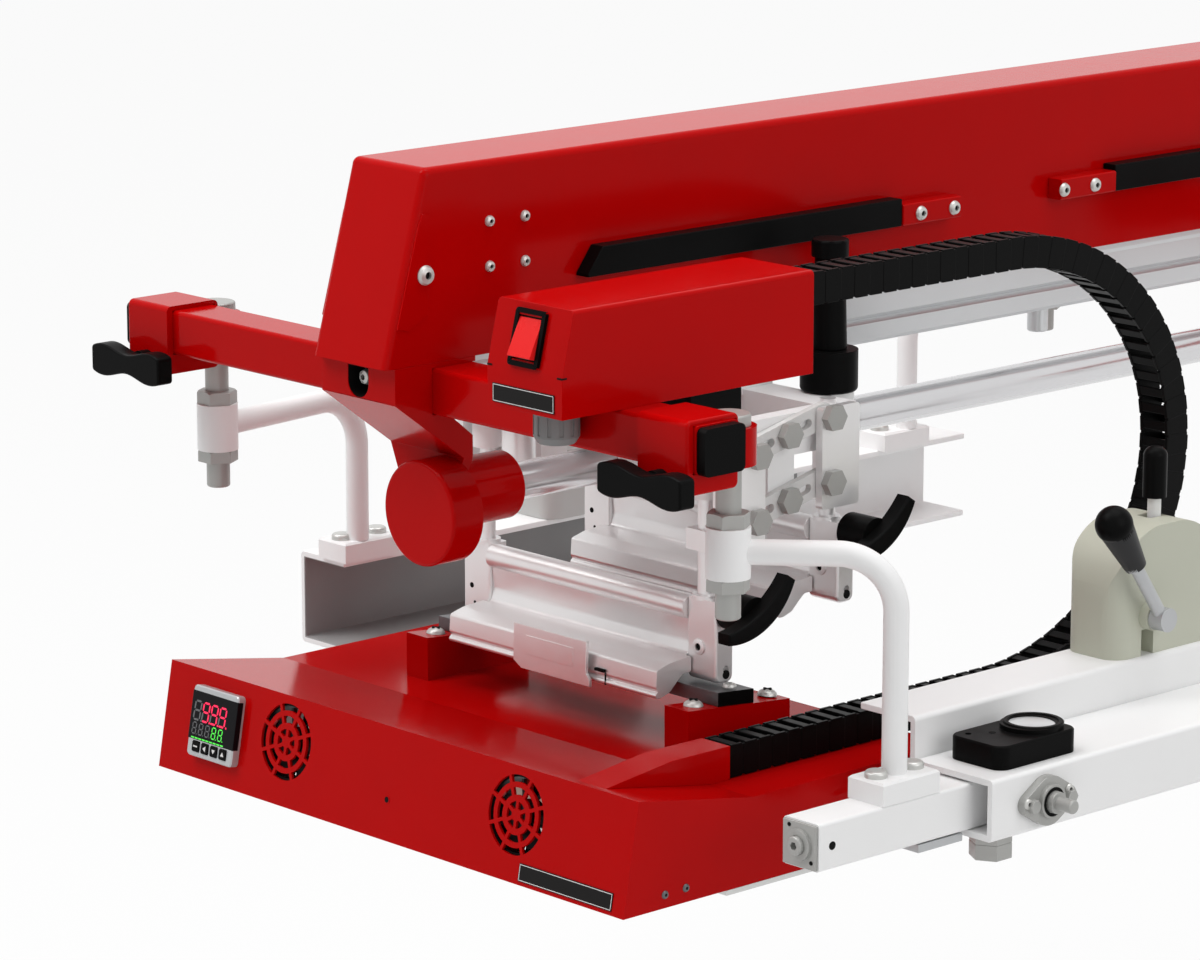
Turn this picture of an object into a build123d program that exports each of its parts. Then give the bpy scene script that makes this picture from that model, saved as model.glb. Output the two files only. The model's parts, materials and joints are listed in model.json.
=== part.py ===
from build123d import *
import os
from math import atan, atan2, cos, degrees, pi, radians, sin, sqrt, tan

# In-line heat press: an overhead beam carries a carriage with two lifting holders.
# The front holder grips a heated platen, and two side rails hang from the cross bars.
# The model is laid out in millimetres from the foot of the heater's front face:
# X to the right, Y to the rear along the beam, Z up. It is moved to the beam's rear
# flange when it is written.

# Overhead beam
beam_width = 72.0
beam_height = 124.0
beam_bottom = 316.0
beam_foot_y = -21.0
beam_lean = 34.0
beam_wall = 3.0
beam_corner_radius = 5.0
flange_face_y = 1080.0
flange_thickness = 12.0
flange_width = 116.0
flange_height = 164.0
flange_hole_radius = 5.5
flange_hole_spacing_x = 84.0
flange_hole_spacing_z = 132.0
cable_hole_radius = 20.0

# Strips and blocks along the beam's right side
strip_thickness = 12.0
strip_height = 19.0
strip_bottom = 357.0
strip_bevel = 13.0
front_strip_start = 140.0
front_strip_end = 430.0
block_length = 58.0
block_height = 15.0
rear_block_start = 590.0

# Aluminium rail under the beam
rail_half_width = 20.0
rail_flange_half_width = 22.0
rail_flange_height = 7.0
rail_height = 44.0
rail_groove_depth = 3.0
rail_groove_from_bottom = 17.0
rail_start_y = 60.0
stop_pin_radius = 7.5
stop_pin_length = 19.0
stop_pin_y = 622.0

# Guide shaft, its hangers and the disc at its front end
shaft_radius = 12.5
shaft_z = 218.5
hanger_front_y = -13.0
hanger_plate = 8.0
hanger_plate_reach = 25.5
hanger_gusset_top = 251.0
hanger_block_bottom = 292.5
collar_radius = 22.5
collar_length = 56.5
disc_radius = 34.3
disc_thickness = 25.0
disc_offset_x = 20.7
disc_z = 216.0
hanger_slot_half_width = 10.0
hanger_slot_depth = 16.0

# Cross bars and the clamp sleeves at their ends
bar_front_y = 18.0
bar_depth = 36.0
bar_height = 30.0
bar_half_length = 275.0
bar_wall = 3.0
bar_top_gap = 3.5
rear_end_margin = 104.0
sleeve_inner_x = 230.0
sleeve_width = 43.0
sleeve_front_wall = 5.0
sleeve_rear_wall = 2.3
sleeve_floor = 13.0
sleeve_roof = 3.2
lug_reach_y = 16.0
lug_radius = 17.0
lug_height = 24.0
lug_bottom = 278.5
plug_length = 7.0
plug_margin = 1.0

# Wing knobs on the clamp sleeves
knob_screw_radius = 4.0
knob_hub_radius = 8.0
knob_gap = 8.0
knob_thickness = 12.0
knob_span = 73.0
knob_end_height = 21.0
knob_neck_height = 13.0

# Threaded rods, their nuts and the tubes that they adjust
rod_x = 250.0
rod_radius = 8.0
rod_bottom = 181.4
rod_head_radius = 13.5
rod_head_height = 7.5
nut_flats = 24.0
lower_nut_height = 8.3
upper_nut_height = 9.0
hub_radius = 14.0
hub_height = 32.0
hub_bottom = 207.5
arm_radius = 8.0
arm_bend_radius = 36.0

# Side channels that hold the screen frame
channel_outer_x = 315.0
channel_width = 48.0
channel_wall = 4.5
channel_top = 104.5
channel_bottom = 37.5
channel_front_y = 194.0
channel_length = 640.0
right_channel_outer_x = 291.0

# Feet of the bent arms
foot_length = 50.0
foot_width = 30.0
foot_height = 14.5
foot_screw_radius = 7.2
foot_screw_height = 4.5
foot_screw_inset = 9.0
side_foot_shift = 7.0
left_arm_end_x = 268.0
left_arm_end_y = 208.0
right_arm_end_x = 325.0
right_arm_end_y = 140.0

# Telescoping tubes on the right side
inner_tube_size = 30.0
inner_tube_wall = 3.0
inner_tube_bottom = 42.0
inner_tube_front_y = 60.0
inner_tube_length = 440.0
outer_tube_width = 68.0
outer_tube_height = 40.0
outer_tube_wall = 4.2
insert_depth = 26.0
insert_lip = 2.0
spindle_radius = 6.0
spindle_length = 24.0
bearing_width = 48.0
bearing_height = 32.0
bearing_thickness = 6.0
bearing_y = 239.0
side_spindle_radius = 4.5
side_spindle_length = 22.0
indicator_width = 46.0
indicator_length = 73.0
indicator_height = 15.5
indicator_y = 246.5
dial_radius = 19.5
dial_height = 3.0

# Domed lever housings on the channels
housing_width = 47.0
housing_length = 104.0
housing_height = 85.5
housing_front_y = 385.0
housing_inset = 3.0
lever_pivot_y = 416.0
lever_pivot_z = 131.0
lever_ball_y = 366.0
lever_ball_z = 202.0
lever_ball_radius = 12.5
lever_rod_radius = 4.5
lever_gap = 14.0
upright_lever_y = 447.0
upright_stem_height = 12.0
upright_grip_length = 34.0
upright_grip_radius = 8.0
upright_pin_depth = 22.0
upright_pin_radius = 3.0
upright_pin_seat = 6.0
upright_slot_side_gap = 1.5
upright_slot_reach = 6.0

# Carriage that slides under the beam
crosshead_front_y = 172.0
crosshead_depth = 28.0
crosshead_half_length = 116.0
crosshead_bottom = 234.0
crosshead_height = 28.0
saddle_half_width = 38.0
saddle_floor = 14.0
saddle_arm_height = 31.0
slide_gap = 0.3
side_rail_thickness = 11.5
shaft_boss_radius = 20.0
shaft_clearance = 0.05
guide_sleeve_radius = 10.0
guide_sleeve_length = 19.0
air_cylinder_radius = 11.5
air_cylinder_x = 75.0
air_cylinder_bottom = 206.0

# Lifting rods and the pair of parallel links that couple the two holders
lift_x = 107.0
front_lift_y = 189.0
rear_lift_y = 300.0
lift_rod_radius = 5.5
lift_clearance = 0.06
lift_rod_top = 265.0
rear_lift = 35.0
link_half_span = 34.0
link_middle_y = 248.0
link_low_z = 206.5
link_spacing = 43.5
link_rise = 8.0
link_height = 17.0
link_thickness = 5.0
link_side_gap = 0.5
link_pin_radius = 4.0
link_slot_clearance = 1.2
post_width = 37.0
post_thickness = 6.0
post_height = 68.0
post_foot_height = 14.0
post_foot_half_depth = 7.5
post_foot_reach = 11.0
pivot_head_flats = 16.0
pivot_head_height = 6.0
lift_travel = 16.0

# Clamping holders
holder_bottom = 94.0
holder_bracket_width = 27.0
holder_bracket_depth = 16.0
holder_bracket_height = 55.0
holder_bracket_front_y = 182.0
holder_half_span = 97.0
holder_nose_half_span = 102.0
holder_bead_radius = 8.2
holder_web = 4.0
handle_hub_radius = 12.5
handle_hub_length = 26.0
handle_bar_thickness = 11.0
handle_bar_half_length = 34.0
handle_bar_height = 15.0

# Heater box with its platen
heater_half_width = 231.8
heater_front_height = 72.5
heater_front_lean = 13.0
heater_deck_height = 56.3
heater_step_y = 110.0
heater_depth = 289.5
heater_wall = 2.0
platen_thickness = 4.0
platen_upstand = 6.0
platen_front_y = 88.0
insulation_height = 18.0
pedestal_inner_x = 117.0
pedestal_width = 22.0
pedestal_front_y = 143.0
pedestal_length = 92.0
pedestal_front_height = 86.5
pedestal_slope = 5.0
clamp_bar_half_length = 138.0
clamp_bar_front_y = 171.0
clamp_bar_depth = 32.0
clamp_bar_height = 9.5

# Fans behind the front face
left_fan_x = -103.2
right_fan_x = 125.0
front_feature_z = 42.0
grille_radius = 25.5
grille_slot_width = 4.6
fan_size = 52.0
fan_depth = 14.0
fan_bore_radius = 24.0
fan_hub_radius = 10.0
fan_blade_radius = 22.5
fan_blades = 7
fan_gap = 0.4

# Temperature controller
controller_x = -173.3
controller_z = 39.0
controller_size = 48.0
controller_body = 44.5
controller_body_depth = 55.0
controller_bezel = 6.0
controller_corner = 3.0
window_width = 42.0
window_height = 31.0
window_rise = 4.5
window_depth = 0.8
key_count = 4
key_size = 7.0
key_pitch = 9.6
key_drop = 17.0
key_gap = 0.3
key_proud = 0.8
key_depth = 3.0

# Control box on the front cross bar
box_inner_x = 141.9
box_width = 67.2
box_front_y = -29.2
box_apron_height = 25.5
box_front_lean = 9.7
box_rear_y = 183.0
box_height = 65.5
box_wall = 2.0
switch_x = 175.0
switch_rise = 44.7
switch_width = 21.0
switch_height = 27.0
switch_frame_side = 2.5
switch_frame_end = 3.8
switch_frame_proud = 2.0
switch_lean = 6.0
switch_axle_radius = 1.5
switch_axle_reach = 0.3
gland_x = 168.8
gland_y = 2.9
gland_radius = 14.4
gland_height = 24.0
box_block_x = 153.0
box_block_width = 32.8
box_block_y = 99.0
box_block_length = 44.5
box_block_height = 23.0
chain_hole_width = 14.0
chain_hole_height = 12.0

# Air regulator on the carriage
regulator_x = 80.0
regulator_y = 328.0
regulator_knob_radius = 19.5
regulator_knob_height = 29.0
regulator_column_radius = 12.0
regulator_column_height = 62.0
regulator_shelf = 8.0

# Cable chain from the control box to the heater
chain_width = 25.0
chain_height = 21.5
chain_pitch = 20.0
chain_wall = 3.0
chain_edge_inset = 50.4
chain_start_z = 362.3
chain_turn_y = 385.0
chain_turn_reach = 167.0
chain_end_y = 127.0
chain_low_z = 67.6
chain_joint_gap = 0.5
ramp_width = 26.0
ramp_wall = 2.0
ramp_front_y = 20.0
ramp_top_y = 77.0

# Sizes worked out from the ones above
beam_top = beam_bottom + beam_height
beam_half = beam_width / 2
beam_rear_y = flange_face_y - flange_thickness
beam_centre_z = beam_bottom + beam_height / 2
rail_bottom = beam_bottom - rail_height
rail_groove_z = rail_bottom + rail_groove_from_bottom
bar_top = beam_bottom - bar_top_gap
bar_bottom = bar_top - bar_height
bar_centre_z = bar_top - bar_height / 2
bar_rear_y = bar_front_y + bar_depth
mirror_y = flange_face_y - rear_end_margin
rod_y = bar_rear_y + lug_reach_y
hanger_plate_y = bar_front_y + hanger_plate_reach
collar_end_y = hanger_plate_y + hanger_plate + collar_length
rail_end_y = mirror_y - bar_rear_y - 6.0
crosshead_rear_y = crosshead_front_y + crosshead_depth
rear_crosshead_front_y = rear_lift_y - (crosshead_rear_y - front_lift_y)
rear_crosshead_rear_y = rear_crosshead_front_y + crosshead_depth
crosshead_top = crosshead_bottom + crosshead_height
link_tilt = degrees(atan2(link_rise, link_half_span))
link_inner_x = crosshead_half_length + link_side_gap
link_outer_x = link_inner_x + link_thickness
post_inner_x = link_outer_x + link_side_gap
post_outer_x = post_inner_x + post_thickness
inner_tube_top = inner_tube_bottom + inner_tube_size
outer_tube_bottom = inner_tube_bottom - outer_tube_wall - 0.3
outer_tube_top = outer_tube_bottom + outer_tube_height
outer_tube_x = right_channel_outer_x + outer_tube_width / 2
inner_tube_x = outer_tube_x
chain_start_y = box_rear_y
chain_x = heater_half_width - chain_edge_inset
box_bottom = bar_top
box_top = box_bottom + box_height
holder_scale = holder_bracket_height / 55.0
channel_rear_y = channel_front_y + channel_length
front_lean_angle = degrees(atan2(heater_front_lean, heater_front_height))
deck_slope = (heater_front_height - heater_deck_height) / (heater_step_y - heater_front_lean)
holder_top = holder_bottom + holder_bracket_height
heater_normal = Vector(0, -cos(radians(front_lean_angle)), sin(radians(front_lean_angle)))


def block(x_low, x_high, y_low, y_high, z_low, z_high):
    """A box between two corners."""
    size = (x_high - x_low, y_high - y_low, z_high - z_low)
    middle = ((x_low + x_high) / 2, (y_low + y_high) / 2, (z_low + z_high) / 2)
    return Pos(*middle) * Box(*size)


def outline_face(points):
    return make_face(Polyline(*points, close=True))


def prism_x(points, x_low, x_high):
    """Extrude an outline of (y, z) points along X."""
    return Plane.YZ.offset(x_low) * extrude(outline_face(points), x_high - x_low)


def prism_y(points, y_low, y_high):
    """Extrude an outline of (x, z) points along Y."""
    return Plane.XZ.offset(-y_high) * extrude(outline_face(points), y_high - y_low)


def bar_along_x(y, z, radius, x_low, x_high):
    return Pos((x_low + x_high) / 2, y, z) * Rot(0, 90, 0) * Cylinder(radius, x_high - x_low)


def bar_along_y(x, z, radius, y_low, y_high):
    return Pos(x, (y_low + y_high) / 2, z) * Rot(90, 0, 0) * Cylinder(radius, y_high - y_low)


def bar_along_z(x, y, radius, z_low, z_high):
    return Pos(x, y, (z_low + z_high) / 2) * Cylinder(radius, z_high - z_low)


def hexagon_along_x(y, z, flats, x_low, x_high):
    head = extrude(RegularPolygon(flats / 2, 6, major_radius=False), x_high - x_low)
    return Plane.YZ.offset(x_low) * (Pos(y, z) * head)


def flip_x(solid):
    return mirror(solid, Plane.YZ)


def flip_to_rear(solid):
    """Mirror a front piece about the middle between the two cross bars."""
    return Pos(0, mirror_y, 0) * mirror(solid, Plane.XZ)


def both_sides(solid):
    return [solid, flip_x(solid)]


def group(solids):
    return Compound(children=solids)


def face_point(x, z, out=0.0):
    """A point on the heater's leaning front face, moved out along its normal."""
    y = heater_front_lean * z / heater_front_height
    return Vector(x, y, z) + heater_normal * out


def face_plane(x, z, out=0.0):
    """A plane on the leaning front face, local Z pointing out to the front."""
    return Plane(face_point(x, z, out), x_dir=(1, 0, 0), z_dir=heater_normal)


# Beam


def beam_outline(inset):
    """Side outline of the beam cover, drawn in by a wall thickness."""
    slant = beam_lean / beam_height
    low = beam_bottom + inset
    high = beam_top - inset
    shift = inset * sqrt(1 + slant * slant)
    return [
        (beam_foot_y + slant * inset + shift, low),
        (beam_rear_y, low),
        (beam_rear_y, high),
        (beam_foot_y + beam_lean - slant * inset + shift, high),
    ]


def make_beam_housing():
    """Folded sheet cover with a leaning front, welded to the mounting flange."""
    body = prism_x(beam_outline(0), -beam_half, beam_half)
    long_edges = body.edges().filter_by(Axis.Y).group_by(Axis.Z)[-1]
    body = fillet(long_edges, beam_corner_radius)
    corners = body.edges().filter_by(lambda edge: abs(edge.center().X) > beam_half - 1 and edge.center().Y < 0)
    corners = corners.filter_by(lambda edge: edge.length > beam_height / 2)
    body = fillet(corners, beam_corner_radius)
    inside = beam_half - beam_wall
    body -= prism_x(beam_outline(beam_wall), -inside, inside)
    flange = block(
        -flange_width / 2, flange_width / 2,
        beam_rear_y, flange_face_y,
        beam_centre_z - flange_height / 2, beam_centre_z + flange_height / 2,
    )
    flange = fillet(flange.edges().filter_by(Axis.Y), 2 * beam_corner_radius)
    for x in (-flange_hole_spacing_x / 2, flange_hole_spacing_x / 2):
        for z in (-flange_hole_spacing_z / 2, flange_hole_spacing_z / 2):
            flange -= bar_along_y(x, beam_centre_z + z, flange_hole_radius, beam_rear_y, flange_face_y)
    flange -= bar_along_y(0, beam_centre_z, cable_hole_radius, beam_rear_y, flange_face_y)
    return body + flange


def make_side_strips():
    """Two bars on the beam's right side, the front one with a bevelled start."""
    top = strip_bottom + strip_height
    front = prism_x(
        [
            (front_strip_start, strip_bottom),
            (front_strip_end, strip_bottom),
            (front_strip_end, top),
            (front_strip_start + strip_bevel, top),
            (front_strip_start, strip_bottom + 2),
        ],
        beam_half, beam_half + strip_thickness,
    )
    rear = block(
        beam_half, beam_half + strip_thickness,
        rear_block_start + block_length, flange_face_y - 2 * flange_thickness,
        strip_bottom, top,
    )
    return group([front, rear])


def make_strip_blocks():
    solids = []
    for start in (front_strip_end, rear_block_start):
        piece = block(
            beam_half, beam_half + strip_thickness + 1,
            start, start + block_length,
            strip_bottom, strip_bottom + block_height,
        )
        solids.append(fillet(piece.edges().filter_by(Axis.Y).sort_by(Axis.X)[-2:], 1.5))
    return group(solids)


# Rail and guide shaft


def rail_outline(gap):
    """Section of the rail in (x, z), grown by a gap for the carriage's cut-out."""
    side = rail_half_width + gap
    groove = side - rail_groove_depth
    lip = rail_groove_depth
    right = [
        (rail_flange_half_width + gap, beam_bottom),
        (rail_flange_half_width + gap, beam_bottom - rail_flange_height),
        (side, beam_bottom - rail_flange_height - lip),
        (side, rail_groove_z + lip),
        (groove, rail_groove_z),
        (side, rail_groove_z - lip),
        (side, rail_bottom + lip - gap),
        (side - lip, rail_bottom - gap),
    ]
    left = [(-x, z) for x, z in reversed(right)]
    return right + left


def make_linear_rail():
    """Extruded rail with V grooves, and the stop pin that ends the stroke."""
    rail = prism_y(rail_outline(0), rail_start_y, rail_end_y)
    pin = bar_along_z(0, stop_pin_y, stop_pin_radius, rail_bottom - stop_pin_length, rail_bottom)
    pin = chamfer(pin.edges().group_by(Axis.Z)[0], 1)
    return rail + pin


def make_guide_shaft():
    return bar_along_y(0, shaft_z, shaft_radius, hanger_plate_y, mirror_y - hanger_plate_y)


def make_hanger():
    """Block under the beam, a sloping gusset, and the plate and collar that hold the shaft."""
    side = [
        (hanger_front_y, beam_bottom),
        (bar_rear_y, beam_bottom),
        (bar_rear_y, bar_top),
        (bar_front_y, bar_top),
        (bar_front_y, bar_bottom),
        (bar_front_y + 12, bar_bottom),
        (hanger_plate_y + hanger_plate, hanger_gusset_top + 14),
        (hanger_plate_y + hanger_plate, hanger_gusset_top),
        (hanger_plate_y, hanger_gusset_top),
        (hanger_front_y, hanger_block_bottom),
    ]
    body = prism_x(side, -beam_half, beam_half)
    plate = prism_y(
        [
            (-beam_half, hanger_gusset_top),
            (beam_half, hanger_gusset_top),
            (collar_radius, shaft_z),
            (-collar_radius, shaft_z),
        ],
        hanger_plate_y, hanger_plate_y + hanger_plate,
    )
    body += plate
    body += bar_along_y(0, shaft_z, collar_radius, hanger_plate_y, collar_end_y)
    slot_top = beam_bottom - 3
    slot_low = slot_top - 2 * hanger_slot_half_width
    slot = block(
        -hanger_slot_half_width, hanger_slot_half_width,
        hanger_front_y, hanger_front_y + hanger_slot_depth,
        slot_low + hanger_slot_half_width, slot_top,
    )
    slot += bar_along_y(
        0, slot_low + hanger_slot_half_width, hanger_slot_half_width,
        hanger_front_y, hanger_front_y + hanger_slot_depth,
    )
    body -= slot
    body -= bar_along_y(0, shaft_z, shaft_radius, hanger_plate_y, collar_end_y)
    slit_low = shaft_z - collar_radius - 1
    return body - block(-2, 2, collar_end_y - 20, collar_end_y - 8, slit_low, shaft_z - shaft_radius)


def make_end_disc():
    disc = bar_along_y(disc_offset_x, disc_z, disc_radius, hanger_plate_y - disc_thickness, hanger_plate_y)
    return fillet(disc.edges().group_by(Axis.Y)[0], 2.5)


# Cross bars and clamps


def make_cross_bar():
    bar = block(-bar_half_length, bar_half_length, bar_front_y, bar_rear_y, bar_bottom, bar_top)
    bar = fillet(bar.edges().filter_by(Axis.X), bar_wall)
    hollow = block(
        -bar_half_length, bar_half_length,
        bar_front_y + bar_wall, bar_rear_y - bar_wall,
        bar_bottom + bar_wall, bar_top - bar_wall,
    )
    return bar - hollow


def make_clamp_sleeve():
    """Sleeve round the bar's right end, with the lug that holds the threaded rod."""
    inner = sleeve_inner_x
    outer = sleeve_inner_x + sleeve_width
    front = bar_front_y - sleeve_front_wall
    rear = bar_rear_y + sleeve_rear_wall
    low = bar_bottom - sleeve_floor
    sleeve = block(inner, outer, front, rear, low, bar_top + sleeve_roof)
    sleeve = fillet(sleeve.edges().filter_by(Axis.X), 4)
    sleeve = fillet(sleeve.edges().filter_by(Axis.Y).group_by(Axis.X)[-1], 2)
    lug_top = lug_bottom + lug_height
    lug = bar_along_z(rod_x, rod_y, lug_radius, lug_bottom, lug_top)
    lug += block(rod_x - lug_radius, rod_x + lug_radius, rear - 4, rod_y, lug_bottom, lug_top)
    sleeve += lug
    sleeve -= block(inner, outer, bar_front_y, bar_rear_y, bar_bottom, bar_top)
    sleeve -= bar_along_z(rod_x, rod_y, rod_radius, lug_bottom, lug_top)
    middle = inner + sleeve_width / 2
    screw_z = bar_bottom - sleeve_floor / 2
    hole_radius = knob_screw_radius + 0.05
    return sleeve - bar_along_y(middle, screw_z, hole_radius, front, bar_front_y + bar_depth / 2)


def make_end_plug():
    plug = block(
        bar_half_length, bar_half_length + plug_length,
        bar_front_y + plug_margin, bar_rear_y - plug_margin,
        bar_bottom + plug_margin - 1.5, bar_top - plug_margin,
    )
    plug = fillet(plug.edges().filter_by(Axis.X), 4)
    stem = block(
        bar_half_length - 10, bar_half_length,
        bar_front_y + bar_wall, bar_rear_y - bar_wall,
        bar_bottom + bar_wall, bar_top - bar_wall,
    )
    return plug + stem


def make_wing_knob():
    """Winged knob in front of the right sleeve, on its own clamping screw."""
    middle = sleeve_inner_x + sleeve_width / 2
    screw_z = bar_bottom - sleeve_floor / 2
    sleeve_front = bar_front_y - sleeve_front_wall
    rear = sleeve_front - knob_gap
    front = rear - knob_thickness
    half = knob_span / 2
    tall = knob_end_height / 2
    neck = knob_neck_height / 2
    with BuildSketch() as wing:
        with BuildLine():
            Spline(
                (-half, tall * 0.8), (-half * 0.55, tall), (0, neck), (half * 0.55, tall), (half, tall * 0.8),
            )
            Line((half, tall * 0.8), (half, -tall * 0.8))
            Spline(
                (half, -tall * 0.8), (half * 0.55, -tall), (0, -neck), (-half * 0.55, -tall), (-half, -tall * 0.8),
            )
            Line((-half, -tall * 0.8), (-half, tall * 0.8))
        make_face()
        fillet(wing.vertices(), 3)
    body = Plane.XZ.offset(-rear) * extrude(wing.sketch, knob_thickness)
    body = Pos(middle, 0, screw_z) * body
    body = fillet(body.edges().group_by(Axis.Y)[0], 1.5)
    hub = bar_along_y(middle, screw_z, knob_hub_radius, rear, sleeve_front - 0.3)
    screw = bar_along_y(middle, screw_z, knob_screw_radius, rear, bar_front_y + bar_depth / 2 - 1)
    return body + hub + screw


def make_threaded_rod():
    rod = bar_along_z(rod_x, rod_y, rod_radius, rod_bottom, lug_bottom + lug_height)
    head_low = lug_bottom + lug_height
    head = bar_along_z(rod_x, rod_y, rod_head_radius, head_low, head_low + rod_head_height)
    head = fillet(head.edges().group_by(Axis.Z)[-1], 1.5)
    rod = chamfer(rod.edges().group_by(Axis.Z)[0], 1)
    return rod + head


def make_nut(low, height):
    nut = extrude(RegularPolygon(nut_flats / 2, 6, major_radius=False), height)
    dome = Cylinder(nut_flats / 2 / cos(pi / 6), height, align=(Align.CENTER, Align.CENTER, Align.MIN))
    dome = chamfer(dome.edges().group_by(Axis.Z)[-1], 1.2)
    nut = nut & dome
    nut -= Cylinder(rod_radius, height, align=(Align.CENTER, Align.CENTER, Align.MIN))
    return Pos(rod_x, rod_y, low) * nut


def make_nut_pair():
    upper = make_nut(hub_bottom + hub_height, upper_nut_height)
    lower = make_nut(hub_bottom - lower_nut_height, lower_nut_height)
    return [upper, lower]


def make_arm(end_x, end_y, foot_top, foot_shift=0):
    """Bent tube from its hub on the threaded rod down to a foot block on a rail."""
    level = hub_bottom + hub_height / 2
    start = Vector(rod_x, rod_y, level)
    corner = Vector(end_x, end_y, level)
    foot = Vector(end_x, end_y, foot_top)
    run = (corner - start).normalized()
    path = FilletPolyline(start + run * (hub_radius - 4), corner, foot, radius=arm_bend_radius)
    section = Plane(path @ 0, z_dir=path % 0) * Circle(arm_radius)
    arm = sweep(section, path=path)
    arm += bar_along_z(rod_x, rod_y, hub_radius, hub_bottom, hub_bottom + hub_height)
    arm -= bar_along_z(rod_x, rod_y, rod_radius, hub_bottom, hub_bottom + hub_height)
    half_y = foot_length / 2
    half_x = foot_width / 2
    foot_x = end_x + foot_shift
    foot_y = end_y + foot_shift
    pad = block(foot_x - half_x, foot_x + half_x, foot_y - half_y, foot_y + half_y, foot_top - foot_height, foot_top)
    pad = chamfer(pad.edges().group_by(Axis.Z)[-1], 1.5)
    for sign in (-1, 1):
        screw_y = foot_y + sign * (half_y - foot_screw_inset)
        head = bar_along_z(foot_x, screw_y, foot_screw_radius, foot_top, foot_top + foot_screw_height)
        pad += fillet(head.edges().group_by(Axis.Z)[-1], 2.5)
    return arm + pad


# Side channels and tubes


def channel_section(outer_x):
    """C section that opens toward the machine's middle, for the right side."""
    inner = outer_x - channel_width
    web = outer_x - channel_wall
    return [
        (inner, channel_top),
        (outer_x, channel_top),
        (outer_x, channel_bottom),
        (inner, channel_bottom),
        (inner, channel_bottom + channel_wall),
        (web, channel_bottom + channel_wall),
        (web, channel_top - channel_wall),
        (inner, channel_top - channel_wall),
    ]


def make_channel(outer_x):
    channel = prism_y(channel_section(outer_x), channel_front_y, channel_rear_y)
    outer_edges = channel.edges().filter_by(Axis.Y).filter_by(lambda edge: edge.center().X > outer_x - 0.5)
    return fillet(outer_edges, channel_wall * 0.8)


def make_inner_tube():
    half = inner_tube_size / 2
    rear = inner_tube_front_y + inner_tube_length
    tube = block(
        inner_tube_x - half, inner_tube_x + half, inner_tube_front_y, rear, inner_tube_bottom, inner_tube_top,
    )
    tube = fillet(tube.edges().filter_by(Axis.Y), 2)
    hollow = half - inner_tube_wall
    tube -= block(
        inner_tube_x - hollow, inner_tube_x + hollow,
        inner_tube_front_y, rear,
        inner_tube_bottom + inner_tube_wall, inner_tube_top - inner_tube_wall,
    )
    side_hole_y = inner_tube_front_y + 11
    middle = inner_tube_bottom + half
    return tube - bar_along_x(side_hole_y, middle, 2.5, inner_tube_x, inner_tube_x + half)


def make_outer_tube():
    low_x = right_channel_outer_x
    high_x = low_x + outer_tube_width
    tube = block(low_x, high_x, channel_front_y - 2, channel_rear_y, outer_tube_bottom, outer_tube_top)
    tube = fillet(tube.edges().filter_by(Axis.Y), 3)
    wall = outer_tube_wall
    tube -= block(
        low_x + wall, high_x - wall, channel_front_y - 2, channel_rear_y,
        outer_tube_bottom + wall, outer_tube_top - wall,
    )
    middle = inner_tube_bottom + inner_tube_size / 2
    return tube - bar_along_x(bearing_y, middle, side_spindle_radius + 0.5, high_x - wall, high_x)


def make_tube_insert():
    """Plug in the inner tube's front end, with the seat of the end spindle."""
    half = inner_tube_size / 2
    hollow = half - inner_tube_wall
    middle = inner_tube_bottom + half
    front = inner_tube_front_y
    plug = block(
        inner_tube_x - hollow, inner_tube_x + hollow, front, front + insert_depth,
        middle - hollow, middle + hollow,
    )
    lip = block(
        inner_tube_x - half + 1, inner_tube_x + half - 1, front - insert_lip, front,
        middle - half + 1, middle + half - 1,
    )
    ring = bar_along_y(inner_tube_x, middle, spindle_radius + 4, front - insert_lip - 2, front - insert_lip)
    body = plug + lip + ring
    bore = spindle_radius + 0.05
    return body - bar_along_y(inner_tube_x, middle, bore, front - insert_lip - 2, front + insert_depth)


def make_end_spindle():
    middle = inner_tube_bottom + inner_tube_size / 2
    front = inner_tube_front_y - insert_lip - 5
    spindle = bar_along_y(inner_tube_x, middle, spindle_radius, front, front + spindle_length)
    socket = RegularPolygon(spindle_radius * 0.45, 6)
    socket = Plane.XZ.offset(-front) * (Pos(inner_tube_x, middle) * extrude(socket, -4))
    spindle = chamfer(spindle.edges().group_by(Axis.Y)[0], 0.8)
    return spindle - socket


def make_side_bearing():
    """Two-bolt flange bearing on the outer tube's right side."""
    face = right_channel_outer_x + outer_tube_width
    middle = inner_tube_bottom + inner_tube_size / 2
    ear = bearing_width / 2 - 7
    centre_disc = Circle(bearing_height / 2)
    ears = Pos(-ear, 0) * Circle(7) + Pos(ear, 0) * Circle(7)
    plate = make_hull((centre_disc + ears).edges())
    body = Plane.YZ.offset(face) * (Pos(bearing_y, middle) * extrude(plate, bearing_thickness))
    body += bar_along_x(bearing_y, middle, bearing_height / 2 - 5, face, face + bearing_thickness + 3)
    for sign in (-1, 1):
        body += hexagon_along_x(bearing_y + sign * ear, middle, 8, face, face + bearing_thickness + 4)
    return body - bar_along_x(bearing_y, middle, side_spindle_radius + 0.05, face, face + bearing_thickness + 3)


def make_side_spindle():
    face = right_channel_outer_x + outer_tube_width
    middle = inner_tube_bottom + inner_tube_size / 2
    end = face + side_spindle_length + 4
    pin = bar_along_x(bearing_y, middle, side_spindle_radius, face - outer_tube_wall, end)
    pin = chamfer(pin.edges().group_by(Axis.X)[-1], 0.8)
    collar_start = face + bearing_thickness + 3.3
    return pin + bar_along_x(bearing_y, middle, side_spindle_radius + 2.5, collar_start, collar_start + 4)


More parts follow.
